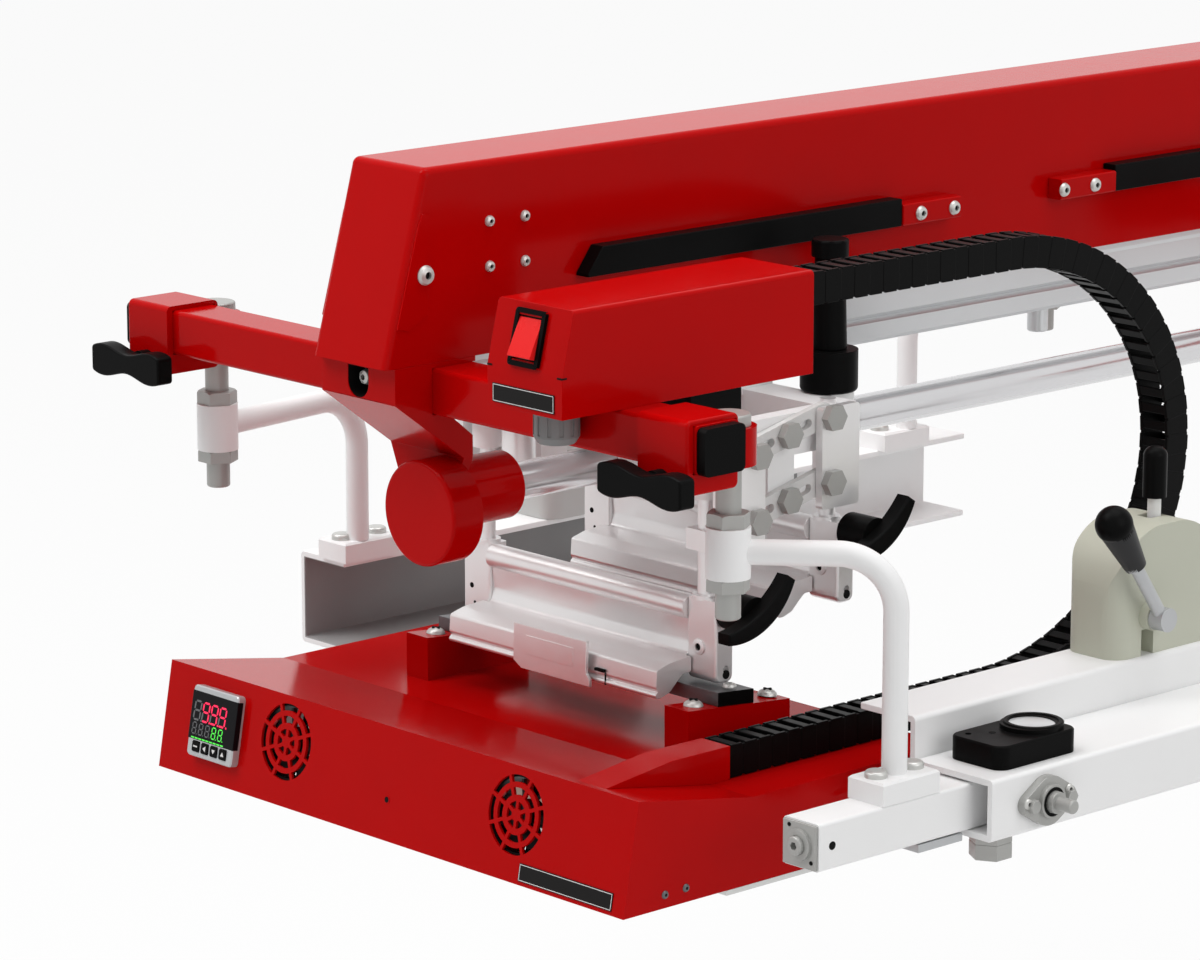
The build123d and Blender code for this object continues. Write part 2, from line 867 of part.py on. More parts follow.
def make_indicator():
    """Flat black housing on the outer tube, with a raised round dial."""
    low_x = right_channel_outer_x + 12
    low_y = indicator_y - indicator_length / 2
    case = block(
        low_x, low_x + indicator_width, low_y, low_y + indicator_length,
        outer_tube_top, outer_tube_top + indicator_height,
    )
    case = fillet(case.edges().filter_by(Axis.Z), 9)
    case = chamfer(case.edges().group_by(Axis.Z)[-1], 1)
    dial_x = low_x + indicator_width - dial_radius - 2
    dial_y = low_y + indicator_length - dial_radius - 3
    top = outer_tube_top + indicator_height
    case += bar_along_z(dial_x, dial_y, dial_radius, top, top + dial_height)
    case -= bar_along_z(dial_x, dial_y, dial_radius - 4, top + dial_height - 1.5, top + dial_height)
    return case - bar_along_z(low_x + 9, low_y + 10, 2, top - 4, top)


def make_housing(outer_x):
    """Domed cover on a channel, for the right side."""
    high_x = outer_x - housing_inset
    low_x = high_x - housing_width
    top = channel_top + housing_height
    rear = housing_front_y + housing_length
    reach = housing_length * 0.42
    shoulder = channel_top + housing_height * 0.45
    front_line = Line((housing_front_y, channel_top), (housing_front_y, shoulder))
    front_arc = EllipticalCenterArc(
        (housing_front_y + reach, shoulder), reach, top - shoulder, start_angle=90, arc_size=90,
    )
    rear_arc = EllipticalCenterArc((rear - reach, shoulder), reach, top - shoulder, start_angle=0, arc_size=90)
    roof = Line((rear - reach, top), (housing_front_y + reach, top))
    rear_line = Line((rear, shoulder), (rear, channel_top))
    floor = Line((rear, channel_top), (housing_front_y, channel_top))
    side = make_face([front_line, front_arc, roof, rear_arc, rear_line, floor])
    body = Plane.YZ.offset(low_x) * extrude(side, housing_width)
    footprint = RectangleRounded(housing_width, housing_length, 14)
    middle = ((low_x + high_x) / 2, housing_front_y + housing_length / 2)
    return body & (Pos(middle[0], middle[1], channel_top) * extrude(footprint, housing_height))


def make_right_housing():
    body = make_housing(right_channel_outer_x)
    side = right_channel_outer_x - housing_inset
    body += bar_along_x(lever_pivot_y, lever_pivot_z, 9, side - 8, side + lever_gap / 2)
    notch = block(side - 10, side + 1, lever_pivot_y - 6, lever_pivot_y + 6, channel_top, lever_pivot_z - 9)
    body -= notch
    hole_x = side - housing_width / 2
    top = channel_top + housing_height
    half_x = lever_rod_radius + upright_slot_side_gap
    half_y = lever_rod_radius + upright_slot_reach
    body -= block(
        hole_x - half_x, hole_x + half_x,
        upright_lever_y - half_y, upright_lever_y + half_y,
        top - upright_pin_depth - 10, top,
    )
    bore = upright_pin_radius + 0.05
    pin_half = half_x + upright_pin_seat
    return body - bar_along_x(upright_lever_y, top - upright_pin_depth, bore, hole_x - pin_half, hole_x + pin_half)


def make_front_lever():
    """Lever at the housing's side: a hub, a round rod and a tapered grip with a ball end."""
    x = right_channel_outer_x - housing_inset + lever_gap / 2 + 0.3
    hub = bar_along_x(lever_pivot_y, lever_pivot_z, 8, x, x + 11)
    rod_x_middle = x + 5.5
    start = Vector(rod_x_middle, lever_pivot_y, lever_pivot_z)
    ball = Vector(rod_x_middle, lever_ball_y, lever_ball_z)
    along = (ball - start).normalized()
    length = (ball - start).length
    rod = Plane(start, z_dir=along) * extrude(Circle(lever_rod_radius), length)
    grip_length = 3 * lever_ball_radius
    grip_plane = Plane(ball - along * grip_length, z_dir=along)
    grip = grip_plane * Cone(
        lever_ball_radius * 0.6, lever_ball_radius * 0.97, grip_length,
        align=(Align.CENTER, Align.CENTER, Align.MIN),
    )
    knob = Pos(ball.X, ball.Y, ball.Z) * Sphere(lever_ball_radius)
    return hub + rod + grip + knob


def make_upright_lever():
    """Short lever that stands out of the housing's roof on a cross pin."""
    x = right_channel_outer_x - housing_inset - housing_width / 2
    top = channel_top + housing_height
    pin_z = top - upright_pin_depth
    stem = bar_along_z(x, upright_lever_y, lever_rod_radius, pin_z - 6, top + upright_stem_height + 4)
    grip_low = top + upright_stem_height
    grip = bar_along_z(x, upright_lever_y, upright_grip_radius, grip_low, grip_low + upright_grip_length)
    grip = fillet(grip.edges().group_by(Axis.Z)[-1], upright_grip_radius * 0.8)
    pin_half = lever_rod_radius + upright_slot_side_gap + upright_pin_seat
    pin = bar_along_x(upright_lever_y, pin_z, upright_pin_radius, x - pin_half, x + pin_half)
    return stem + grip + pin


# Carriage


def make_carriage():
    """Saddle on the rail, shaft boss, two crossheads and the side rails with the link pivots."""
    front = crosshead_front_y
    rear = rear_crosshead_rear_y
    low = crosshead_bottom
    high = crosshead_top
    reach = crosshead_half_length
    body = block(-reach, reach, front, crosshead_rear_y, low, high)
    body += block(-reach, reach, rear_crosshead_front_y, rear, low, high)
    saddle_low = rail_bottom - saddle_floor
    saddle_high = rail_bottom + saddle_arm_height
    body += block(-saddle_half_width, saddle_half_width, front, rear, saddle_low, saddle_high)
    boss_front = crosshead_rear_y
    body += bar_along_y(0, shaft_z, shaft_boss_radius, boss_front, rear_crosshead_front_y)
    body += block(
        -shaft_boss_radius, shaft_boss_radius, boss_front, rear_crosshead_front_y, shaft_z, saddle_low,
    )
    rail_cut = prism_y(rail_outline(slide_gap), front, rear)
    body -= rail_cut
    link_top = link_low_z + link_spacing
    rail_low = link_low_z - 9
    inner = reach - side_rail_thickness
    web = block(inner, reach, crosshead_rear_y - 1, rear_crosshead_front_y + 1, low, high)
    web += block(inner, reach, link_middle_y - 12, link_middle_y + 12, rail_low, high)
    body += web
    body += flip_x(web)
    for z in (link_low_z, link_top):
        head_x = link_outer_x + slide_gap
        pin = bar_along_x(link_middle_y, z, link_pin_radius, reach, head_x)
        pin += hexagon_along_x(link_middle_y, z, pivot_head_flats, head_x, head_x + pivot_head_height)
        body += pin
        body += flip_x(pin)
    for y in (front_lift_y, rear_lift_y):
        sleeve = bar_along_z(lift_x, y, guide_sleeve_radius, low - guide_sleeve_length, low)
        body += sleeve
        body += flip_x(sleeve)
        hole = bar_along_z(
            lift_x, y, lift_rod_radius + lift_clearance, low - guide_sleeve_length, high,
        )
        body -= hole
        body -= flip_x(hole)
    shelf = block(
        regulator_x - 12, regulator_x + 12, rear, regulator_y + 12, crosshead_top - regulator_shelf, crosshead_top,
    )
    body += shelf
    return body - bar_along_y(0, shaft_z, shaft_radius + shaft_clearance, boss_front, rear_crosshead_front_y)


def make_air_cylinder():
    body = bar_along_z(air_cylinder_x, front_lift_y, air_cylinder_radius, air_cylinder_bottom, crosshead_bottom)
    return fillet(body.edges().group_by(Axis.Z)[0], 1.5)


def make_link(middle_z):
    """One parallel link: a slotted bar that rocks on the carriage's middle pin."""
    half = link_half_span / cos(radians(link_tilt))
    outline = SlotCenterToCenter(2 * half, link_height)
    outline -= Circle(link_pin_radius + 0.05)
    for sign in (-1, 1):
        hole = SlotCenterToCenter(2 * link_slot_clearance, 2 * (link_pin_radius + link_slot_clearance))
        outline -= Pos(sign * half, 0) * hole
        outline -= Pos(sign * half / 2, 0) * SlotCenterToCenter(5, 6)
    flat = extrude(outline, link_thickness)
    return Plane.YZ.offset(link_inner_x) * (Pos(link_middle_y, middle_z) * Rot(0, 0, link_tilt) * flat)


def make_links(middle_z):
    return group(both_sides(make_link(middle_z)))


# Holders


def make_lifter(lift_y, toward, bottom_z, base_y):
    """Guide rod, clamp foot, pivot post and the holder's end bracket, for the right side."""
    pivot_y = link_middle_y + toward * link_half_span
    pivot_z = link_low_z + toward * link_rise
    top = bottom_z + holder_bracket_height
    rod = bar_along_z(lift_x, lift_y, lift_rod_radius, top, lift_rod_top)
    post_low = pivot_z - 18
    away = lift_y + toward * (lift_rod_radius + 3)
    near = pivot_y - toward * 8
    low_y, high_y = sorted((away, near))
    post = block(post_inner_x, post_outer_x, low_y, high_y, post_low, post_low + post_height)
    post = fillet(post.edges().filter_by(Axis.X), 2.5)
    foot = block(
        lift_x - post_foot_reach, post_inner_x,
        lift_y - post_foot_half_depth, lift_y + post_foot_half_depth,
        post_low, post_low + post_foot_height,
    )
    lifter = rod + post + foot
    for z in (pivot_z, pivot_z + link_spacing):
        lifter += bar_along_x(pivot_y, z, link_pin_radius, link_inner_x, post_outer_x)
        lifter += hexagon_along_x(pivot_y, z, pivot_head_flats, post_outer_x, post_outer_x + pivot_head_height)
    outer = holder_half_span + holder_bracket_width
    bracket = block(holder_half_span, outer, base_y, base_y + holder_bracket_depth, bottom_z, top)
    bracket = fillet(bracket.edges().filter_by(Axis.X).group_by(Axis.Z)[0], 5)
    bracket = fillet(bracket.edges().filter_by(Axis.Z).group_by(Axis.Y)[0], 2)
    hub_z = top - 6
    bracket += bar_along_z(lift_x, lift_y, 9, top - 1, top + 2)
    hole = bar_along_x(base_y + holder_bracket_depth / 2 + 2, hub_z, 5.05, outer - 12, outer)
    bracket -= hole
    bracket -= bar_along_x(base_y + holder_bracket_depth / 2 + 1, bottom_z + 9, 2.5, outer - 6, outer)
    return lifter + bracket


def holder_outline(base_y, bottom_z):
    """Outline of the holder's extruded section in (y, z): a round bead, a web and a nose."""
    outline = [
        (1.5, 43),
        (6.5, 43),
        (7.5, 24),
        (10, 14),
        (10, 5),
        (-9, 5),
        (-13, 1),
        (-19, -8),
        (-28, -8),
        (-33, -3),
        (-33, 3),
        (-18, 12),
        (1, 15),
        (3, 24),
    ]
    return [(base_y + y * holder_scale, bottom_z + z * holder_scale) for y, z in outline]


def make_holder_profile(base_y, bottom_z):
    """Aluminium extrusion between the brackets, with the longer nose in front of them."""
    top = bottom_z + holder_bracket_height
    outline = outline_face(holder_outline(base_y, bottom_z))
    outline = fillet(outline.vertices(), 1.2)
    bead = Pos(base_y + 4, top - holder_bead_radius) * Circle(holder_bead_radius)
    web = Plane.YZ.offset(-holder_half_span) * extrude(outline + bead, 2 * holder_half_span)
    tip_clip = block(
        -holder_nose_half_span, holder_nose_half_span, base_y - 40, base_y - 0.5, bottom_z - 10, bottom_z + 30,
    )
    nose_face = outline_face(holder_outline(base_y, bottom_z))
    nose_face = fillet(nose_face.vertices(), 1.2)
    nose = Plane.YZ.offset(-holder_nose_half_span) * extrude(nose_face, 2 * holder_nose_half_span)
    return web + (nose & tip_clip)


def make_clamp_handle(base_y, bottom_z):
    """Hub and crescent bar of the clamp handle beside the right bracket."""
    outer = holder_half_span + holder_bracket_width
    hub_y = base_y + holder_bracket_depth / 2 + 2
    hub_z = bottom_z + holder_bracket_height - 6
    stem = bar_along_x(hub_y, hub_z, 5, outer - 11.5, outer + 2)
    hub = bar_along_x(hub_y, hub_z, handle_hub_radius, outer + 0.4, outer + handle_hub_length)
    hub = fillet(hub.edges().group_by(Axis.X)[0], 2)
    half = handle_bar_half_length
    tall = handle_bar_height
    inner_arc = ThreePointArc((-half, tall * 0.55), (0, -tall * 0.25), (half, tall * 0.55))
    outer_arc = ThreePointArc((half * 0.9, tall), (0, tall * 0.6), (-half * 0.9, tall))
    near_end = Line(inner_arc @ 1, outer_arc @ 0)
    far_end = Line(outer_arc @ 1, inner_arc @ 0)
    crescent = make_face([inner_arc, near_end, outer_arc, far_end])
    bar = extrude(crescent, handle_bar_thickness)
    bar = fillet(bar.edges().group_by(Axis.Z)[-1], 1.5)
    tilt = Rot(0, 0, 30)
    bar_start = outer + handle_hub_length - 1
    bar = Plane.YZ.offset(bar_start) * (Pos(hub_y, hub_z) * tilt * Pos(0, -tall * 0.2) * bar)
    return stem + hub + bar


# Heater


def heater_outline(inset):
    """Side outline of the heater box in (y, z), open below when drawn in."""
    lean = heater_front_lean / heater_front_height
    wall = inset / cos(atan(lean))
    rise = heater_front_height + deck_slope * (heater_front_lean - wall) - inset
    top = rise / (1 + deck_slope * lean)
    return [
        (wall, 0),
        (heater_depth - inset, 0),
        (heater_depth - inset, heater_deck_height - inset),
        (heater_step_y, heater_deck_height - inset),
        (lean * top + wall, top),
    ]


def grille_cut(x):
    """Round grille of arc slots in three rings."""
    rings = ((grille_radius, 8), (grille_radius * 0.68, 8), (grille_radius * 0.34, 6))
    cuts = []
    for outer, count in rings:
        inner = outer - grille_slot_width
        ring = Circle(outer) - Circle(inner)
        web = 2.4
        for index in range(count):
            spoke = Rot(0, 0, 360 / count * (index + 0.5)) * (Pos(outer, 0) * Rectangle(2 * outer, web))
            ring -= spoke
        cuts.append(extrude(ring, 3 * heater_wall, both=True))
    return [face_plane(x, front_feature_z) * cut for cut in cuts]


def make_heater_box():
    """Sheet cover with a leaning front, fan grilles, and the two sloping pedestals."""
    half = heater_half_width
    shell = prism_x(heater_outline(0), -half, half)
    shell -= prism_x(heater_outline(heater_wall), -half + heater_wall, half - heater_wall)
    for x in (left_fan_x, right_fan_x):
        for cut in grille_cut(x):
            shell -= cut
    opening = Rectangle(controller_body, controller_body)
    shell -= face_plane(controller_x, controller_z) * extrude(opening, 3 * heater_wall, both=True)
    drop = pedestal_length * tan(radians(pedestal_slope))
    rear = pedestal_front_y + pedestal_length
    low = heater_deck_height - heater_wall
    pedestal = prism_x(
        [
            (pedestal_front_y, low),
            (rear, low),
            (rear, pedestal_front_height - drop),
            (pedestal_front_y, pedestal_front_height),
        ],
        pedestal_inner_x, pedestal_inner_x + pedestal_width,
    )
    shell += pedestal
    return shell + flip_x(pedestal)


def make_platen():
    """Heated plate under the box, with an upstand inside the walls."""
    half = heater_half_width
    plate = block(-half, half, platen_front_y, heater_depth, -platen_thickness, 0)
    plate = chamfer(plate.edges().group_by(Axis.Z)[0], 1)
    inside = half - heater_wall - 0.2
    return plate + block(
        -inside, inside, platen_front_y, heater_depth - heater_wall - 0.2, 0, platen_upstand,
    )


def make_insulation():
    inside = heater_half_width - heater_wall - 4
    return block(
        -inside, inside, platen_front_y + 4, heater_depth - heater_wall - 4,
        platen_upstand, platen_upstand + insulation_height,
    )


def make_clamp_bar():
    """Flat bar on the pedestals that the front holder grips."""
    slope = tan(radians(pedestal_slope))
    front = clamp_bar_front_y
    rear = front + clamp_bar_depth
    front_z = pedestal_front_height - (front - pedestal_front_y) * slope
    rear_z = front_z - clamp_bar_depth * slope
    return prism_x(
        [
            (front, front_z),
            (rear, rear_z),
            (rear, rear_z + clamp_bar_height),
            (front, front_z + clamp_bar_height),
        ],
        -clamp_bar_half_length, clamp_bar_half_length,
    )


def make_fan_frame(x):
    """Square fan frame behind a grille, with a hub bridge at the back."""
    plane = face_plane(x, front_feature_z, -heater_wall)
    frame = RectangleRounded(fan_size, fan_size, 3) - Circle(fan_bore_radius)
    body = extrude(frame, -fan_depth)
    bridge = Rectangle(2 * fan_bore_radius + 2, 4) + Rectangle(4, 2 * fan_bore_radius + 2)
    bridge += Circle(fan_hub_radius)
    body += Pos(0, 0, -fan_depth) * extrude(bridge, 2)
    return plane * body


def make_fan_rotor(x):
    """Hub with twisted blades, turning on the frame's bridge."""
    plane = face_plane(x, front_feature_z, -heater_wall)
    depth = fan_depth - 2 - 2 * fan_gap
    hub = Pos(0, 0, -fan_gap - depth) * extrude(Circle(fan_hub_radius), depth)
    blade_length = fan_blade_radius - fan_hub_radius + 2
    blade = Box(blade_length, 1.4, depth * 1.05)
    blade = Pos(fan_hub_radius - 2 + blade_length / 2, 0, 0) * Rot(38, 0, 0) * blade
    rotor = hub
    for index in range(fan_blades):
        turn = Rot(0, 0, 360 / fan_blades * index)
        rotor += Pos(0, 0, -fan_gap - depth / 2) * turn * blade
    return plane * rotor


def key_places():
    first = -(key_count - 1) / 2 * key_pitch
    return [first + index * key_pitch for index in range(key_count)]


def make_controller():
    """Panel controller: bezel in front of the panel, body behind it, with a display window."""
    plane = face_plane(controller_x, controller_z)
    bezel = extrude(RectangleRounded(controller_size, controller_size, controller_corner), controller_bezel)
    bezel = chamfer(bezel.edges().group_by(Axis.Z)[-1], 0.8)
    body = extrude(Rectangle(controller_body, controller_body), -controller_body_depth)
    unit = bezel + body
    window = Rectangle(window_width, window_height)
    unit -= Pos(0, window_rise, controller_bezel - window_depth) * extrude(window, window_depth)
    for x in key_places():
        well = Rectangle(key_size + 2 * key_gap, key_size + 2 * key_gap)
        unit -= Pos(x, -key_drop, controller_bezel - key_depth) * extrude(well, key_depth)
    return plane * unit


def make_key(x):
    plane = face_plane(controller_x, controller_z)
    cap = RectangleRounded(key_size, key_size, 1.2)
    rest = controller_bezel - key_depth + 0.8
    key = Pos(x, -key_drop, rest) * extrude(cap, key_depth - 0.8 + key_proud)
    return plane * key


# Control box and regulator


def box_lean_slope():
    return box_front_lean / (box_height - box_apron_height)


def box_front_plane(x, rise):
    """A plane on the control box's leaning front, local Z pointing out."""
    lean = atan(box_lean_slope())
    y = box_front_y + box_lean_slope() * (rise - box_apron_height)
    return Plane((x, y, box_bottom + rise), x_dir=(1, 0, 0), z_dir=(0, -cos(lean), sin(lean)))


def box_outline(inset):
    """Side outline in (y, z): an upright apron, a leaning front, a flat top and rear."""
    knee = box_bottom + box_apron_height
    shift = inset * (sqrt(1 + box_lean_slope() ** 2) - box_lean_slope())
    return [
        (box_front_y + inset, box_bottom + inset),
        (box_rear_y - inset, box_bottom + inset),
        (box_rear_y - inset, box_top - inset),
        (box_front_y + box_front_lean + shift, box_top - inset),
        (box_front_y + inset, knee),
    ]


def make_control_box():
    """Folded box with a leaning front and the cut-outs of its switch and gland."""
    wall = box_wall
    body = prism_x(box_outline(0), box_inner_x, box_inner_x + box_width)
    body = fillet(body.edges().filter_by(Axis.Y).group_by(Axis.Z)[-1], 3)
    body -= prism_x(box_outline(wall), box_inner_x + wall, box_inner_x + box_width - wall)
    opening = Rectangle(switch_width, switch_height)
    body -= box_front_plane(switch_x, switch_rise) * extrude(opening, 3 * wall, both=True)
    frame = Rectangle(switch_width + 2 * switch_frame_side, switch_height + 2 * switch_frame_end) - opening
    body += box_front_plane(switch_x, switch_rise) * extrude(frame, switch_frame_proud)
    chain_hole = block(
        chain_x - chain_hole_width / 2, chain_x + chain_hole_width / 2, box_rear_y - wall, box_rear_y,
        chain_start_z - chain_hole_height / 2, chain_start_z + chain_hole_height / 2,
    )
    body -= chain_hole
    gland_hole = bar_along_z(gland_x, gland_y, gland_radius * 0.6, box_bottom, box_bottom + wall)
    return body - gland_hole


def make_rocker():
    """Rocker with a ridge at its pivot, resting tipped to one side."""
    plane = box_front_plane(switch_x, switch_rise)
    half = switch_height / 2 - 1.2
    width = switch_width - 0.8
    tip = tan(radians(switch_lean))
    side = [(half, 1.2), (0, 4.2), (-half, 4.2 + half * 2 * tip), (-half, 0.4), (0, -7), (half, -4)]
    cap = extrude(outline_face(side), width)
    cap = fillet(cap.edges().filter_by(Axis.Z), 0.6)
    local = Plane((-width / 2, 0, 0), x_dir=(0, 1, 0), z_dir=(1, 0, 0))
    axle = bar_along_x(0, 0, switch_axle_radius, -width / 2 - switch_axle_reach, width / 2 + switch_axle_reach)
    return plane * (local * cap + axle)


def make_gland():
    """Grey cable gland with a ribbed cap under the control box."""
    top = box_bottom
    low = top - gland_height
    cap = Cylinder(gland_radius, gland_height * 0.62, align=(Align.CENTER, Align.CENTER, Align.MIN))
    for index in range(12):
        rib = Rot(0, 0, 30 * index) * (Pos(gland_radius + 0.2, 0, gland_height * 0.31) * Box(1.6, 2.4, gland_height * 0.5))
        cap -= rib
    cap = Pos(gland_x, gland_y, low + gland_height * 0.18) * cap
    neck = Cone(
        gland_radius * 0.8, gland_radius, gland_height * 0.18, align=(Align.CENTER, Align.CENTER, Align.MIN),
    )
    neck = Pos(gland_x, gland_y, low) * neck
    collar_low = low + gland_height * 0.8
    collar = extrude(RegularPolygon(gland_radius * 0.92, 6, major_radius=False), gland_height * 0.2)
    collar = Pos(gland_x, gland_y, collar_low) * collar
    thread = bar_along_z(gland_x, gland_y, gland_radius * 0.6, top, top + box_wall + 4)
    gland = cap + neck + collar + thread
    return gland - bar_along_z(gland_x, gland_y, gland_radius * 0.42, low, top + box_wall + 4)


def make_box_mount():
    """Black block under the control box, behind the cross bar."""
    return block(
        box_block_x, box_block_x + box_block_width, box_block_y, box_block_y + box_block_length,
        box_bottom - box_block_height, box_bottom,
    )


def make_regulator_column():
    """Tapered column above the regulator's knob, with a wider cap."""
    low = crosshead_top + regulator_knob_height
    column = Pos(regulator_x, regulator_y, low) * Cone(
        regulator_column_radius, regulator_column_radius * 0.85, regulator_column_height,
        align=(Align.CENTER, Align.CENTER, Align.MIN),
    )
    cap_low = low + regulator_column_height
    cap = bar_along_z(regulator_x, regulator_y, regulator_column_radius + 0.5, cap_low, cap_low + 12)
    cap = fillet(cap.edges().group_by(Axis.Z)[-1], 2)
    stem = bar_along_z(regulator_x, regulator_y, 4, crosshead_top, low)
    return column + cap + stem


def make_regulator_knob():
    low = crosshead_top + 0.3
    high = crosshead_top + regulator_knob_height - 0.3
    knob = bar_along_z(regulator_x, regulator_y, regulator_knob_radius, low, high)
    knob = fillet(knob.edges().group_by(Axis.Z)[0], 3)
    return knob - bar_along_z(regulator_x, regulator_y, 4.05, low, high)


# Cable chain


def chain_point(distance):
    """Centre line of the chain, at a distance along it."""
    straight = chain_turn_y - chain_start_y
    half_height = (chain_start_z - chain_low_z) / 2
    centre_z = chain_low_z + half_height
    steps = 200
    lengths = [0.0]
    for index in range(steps):
        a = pi / steps * index
        b = pi / steps * (index + 1)
        rise = half_height * (cos(b) - cos(a))
        run = chain_turn_reach * (sin(b) - sin(a))
        lengths.append(lengths[-1] + sqrt(rise * rise + run * run))
    bend = lengths[-1]
    total = straight + bend + chain_turn_y - chain_end_y
    if distance <= straight:
        return Vector(chain_x, chain_start_y + distance, chain_start_z), total
    if distance <= straight + bend:
        along = distance - straight
        index = 0
        while index < steps - 1 and lengths[index + 1] < along:
            index += 1
        span = lengths[index + 1] - lengths[index]
        angle = pi / steps * (index + (along - lengths[index]) / span)
        y = chain_turn_y + chain_turn_reach * sin(angle)
        return Vector(chain_x, y, centre_z + half_height * cos(angle)), total
    return Vector(chain_x, chain_turn_y - (distance - straight - bend), chain_low_z), total


def make_link_body(length):
    """Hollow chain link along local X, with a hinge tongue that enters the next link."""
    gap = chain_joint_gap
    body = Box(length - gap, chain_width, chain_height)
    inner_width = chain_width - 2 * chain_wall
    inner_height = chain_height - 2 * chain_wall
    body -= Box(length, inner_width, inner_height)
    tongue_width = inner_width - 2 * gap
    tongue_height = inner_height - 2 * gap - 2
    tongue = Box(length * 0.5, tongue_width, tongue_height)
    tongue -= Box(length, tongue_width - 3, tongue_height + 1)
    tongue = Pos(length * 0.5, 0, 0) * tongue
    joiner = Box(3, inner_width, tongue_height)
    joiner -= Box(4, tongue_width - 3, tongue_height + 1)
    return body + tongue + Pos(length / 2 - gap / 2 - 1.5, 0, 0) * joiner


def make_cable_chain():
    total = chain_point(0)[1]
    count = round(total / chain_pitch)
    step = total / count
    link = make_link_body(step)
    solids = []
    for index in range(count):
        start = chain_point(index * step)[0]
        end = chain_point((index + 1) * step)[0]
        middle = (start + end) * 0.5
        along = (end - start).normalized()
        place = Plane(middle, x_dir=along, z_dir=along.cross(Vector(1, 0, 0)))
        solids.append(place * link)
    return group(solids)


def make_chain_ramp():
    """Folded bracket on the heater deck that takes the chain's lower end."""
    low_x = chain_x - ramp_width / 2
    top = chain_low_z + chain_height / 2
    start_z = heater_front_height - (ramp_front_y - heater_front_lean) * deck_slope
    knee_z = heater_deck_height
    side = [
        (ramp_front_y, start_z),
        (ramp_top_y, top),
        (chain_end_y, top),
        (chain_end_y, knee_z),
        (heater_step_y, knee_z),
    ]
    cover = prism_x(side, low_x, low_x + ramp_width)
    wall = ramp_wall
    hollow = [
        (ramp_front_y + 4 * wall, heater_front_height - 5 * wall),
        (ramp_top_y, top - wall),
        (chain_end_y, top - wall),
        (chain_end_y, knee_z),
        (heater_step_y, knee_z),
    ]
    return cover - prism_x(hollow, low_x + wall, low_x + ramp_width - wall)


# Assembly


def make_parts():
    front_clamps = both_sides(make_clamp_sleeve())
    front_plugs = both_sides(make_end_plug())
    front_rods = both_sides(make_threaded_rod())
    front_nuts = make_nut_pair()
    front_nuts += [flip_x(nut) for nut in front_nuts]
    foot_z = channel_top + foot_height
    channel_arm = make_arm(left_arm_end_x, left_arm_end_y, foot_z, side_foot_shift)
    right_channel = make_channel(right_channel_outer_x)
    left_channel = flip_x(make_channel(channel_outer_x))
    rear_y = holder_bracket_front_y + rear_lift_y - front_lift_y
    rear_bottom = holder_bottom + rear_lift
    knob = make_wing_knob()
    front_lifter = make_lifter(front_lift_y, -1, holder_bottom, holder_bracket_front_y)
    rear_lifter = make_lifter(rear_lift_y, 1, rear_bottom, rear_y)
    parts = {
        "beam_housing": make_beam_housing(),
        "side_strips": make_side_strips(),
        "strip_blocks": make_strip_blocks(),
        "linear_rail": make_linear_rail(),
        "guide_shaft": make_guide_shaft(),
        "front_hanger": make_hanger(),
        "rear_hanger": flip_to_rear(make_hanger()),
        "end_disc": make_end_disc(),
        "cross_bars": group([make_cross_bar(), flip_to_rear(make_cross_bar())]),
        "clamp_sleeves": group(front_clamps + [flip_to_rear(item) for item in front_clamps]),
        "bar_end_plugs": group(front_plugs + [flip_to_rear(item) for item in front_plugs]),
        "threaded_rods": group(front_rods + [flip_to_rear(item) for item in front_rods]),
        "lock_nuts": group(front_nuts + [flip_to_rear(item) for item in front_nuts]),
        "front_left_arm": flip_x(channel_arm),
        "front_right_arm": make_arm(right_arm_end_x, right_arm_end_y, inner_tube_top + foot_height),
        "rear_arms": group([flip_to_rear(item) for item in both_sides(channel_arm)]),
        "left_channel": left_channel,
        "right_channel": right_channel,
        "outer_tube": make_outer_tube(),
        "inner_tube": make_inner_tube(),
        "spindle_bearings": group([make_tube_insert(), make_side_bearing()]),
        "position_indicator": make_indicator(),
        "right_lever_housing": make_right_housing(),
        "left_housing": flip_x(make_housing(channel_outer_x - channel_wall)),
        "end_spindle": make_end_spindle(),
        "side_spindle": make_side_spindle(),
        "front_lever": make_front_lever(),
        "upright_lever": make_upright_lever(),
        "left_wing_knob": flip_x(knob),
        "right_wing_knob": knob,
        "carriage_saddle": make_carriage(),
        "air_cylinders": group(both_sides(make_air_cylinder())),
        "box_mount": make_box_mount(),
        "control_box": make_control_box(),
        "cable_gland": make_gland(),
        "regulator_column": make_regulator_column(),
        "regulator_knob": make_regulator_knob(),
        "rocker_switch": make_rocker(),
        "cable_chain": make_cable_chain(),
        "upper_links": make_links(link_low_z + link_spacing),
        "lower_links": make_links(link_low_z),
        "front_lifters": group(both_sides(front_lifter)),
        "front_holder_profile": make_holder_profile(holder_bracket_front_y, holder_bottom),
        "front_clamp_handle": make_clamp_handle(holder_bracket_front_y, holder_bottom),
        "rear_lifters": group(both_sides(rear_lifter)),
        "rear_holder_profile": make_holder_profile(rear_y, rear_bottom),
        "rear_clamp_handle": make_clamp_handle(rear_y, rear_bottom),
        "heater_box": make_heater_box(),
        "heating_platen": make_platen(),
        "insulation_board": make_insulation(),
        "clamp_bar": make_clamp_bar(),
        "fan_frames": group([make_fan_frame(left_fan_x), make_fan_frame(right_fan_x)]),
        "left_fan_rotor": make_fan_rotor(left_fan_x),
        "right_fan_rotor": make_fan_rotor(right_fan_x),
        "temperature_controller": make_controller(),
        "chain_ramp": make_chain_ramp(),
    }
    for index, x in enumerate(key_places()):
        parts["controller_key_" + str(index + 1)] = make_key(x)
    return parts


def write_parts():
    os.makedirs("parts", exist_ok=True)
    shift = Pos(0, -flange_face_y, -beam_centre_z)
    for name, part in make_parts().items():
        export_step(shift * part, "parts/" + name + ".step")


write_parts()
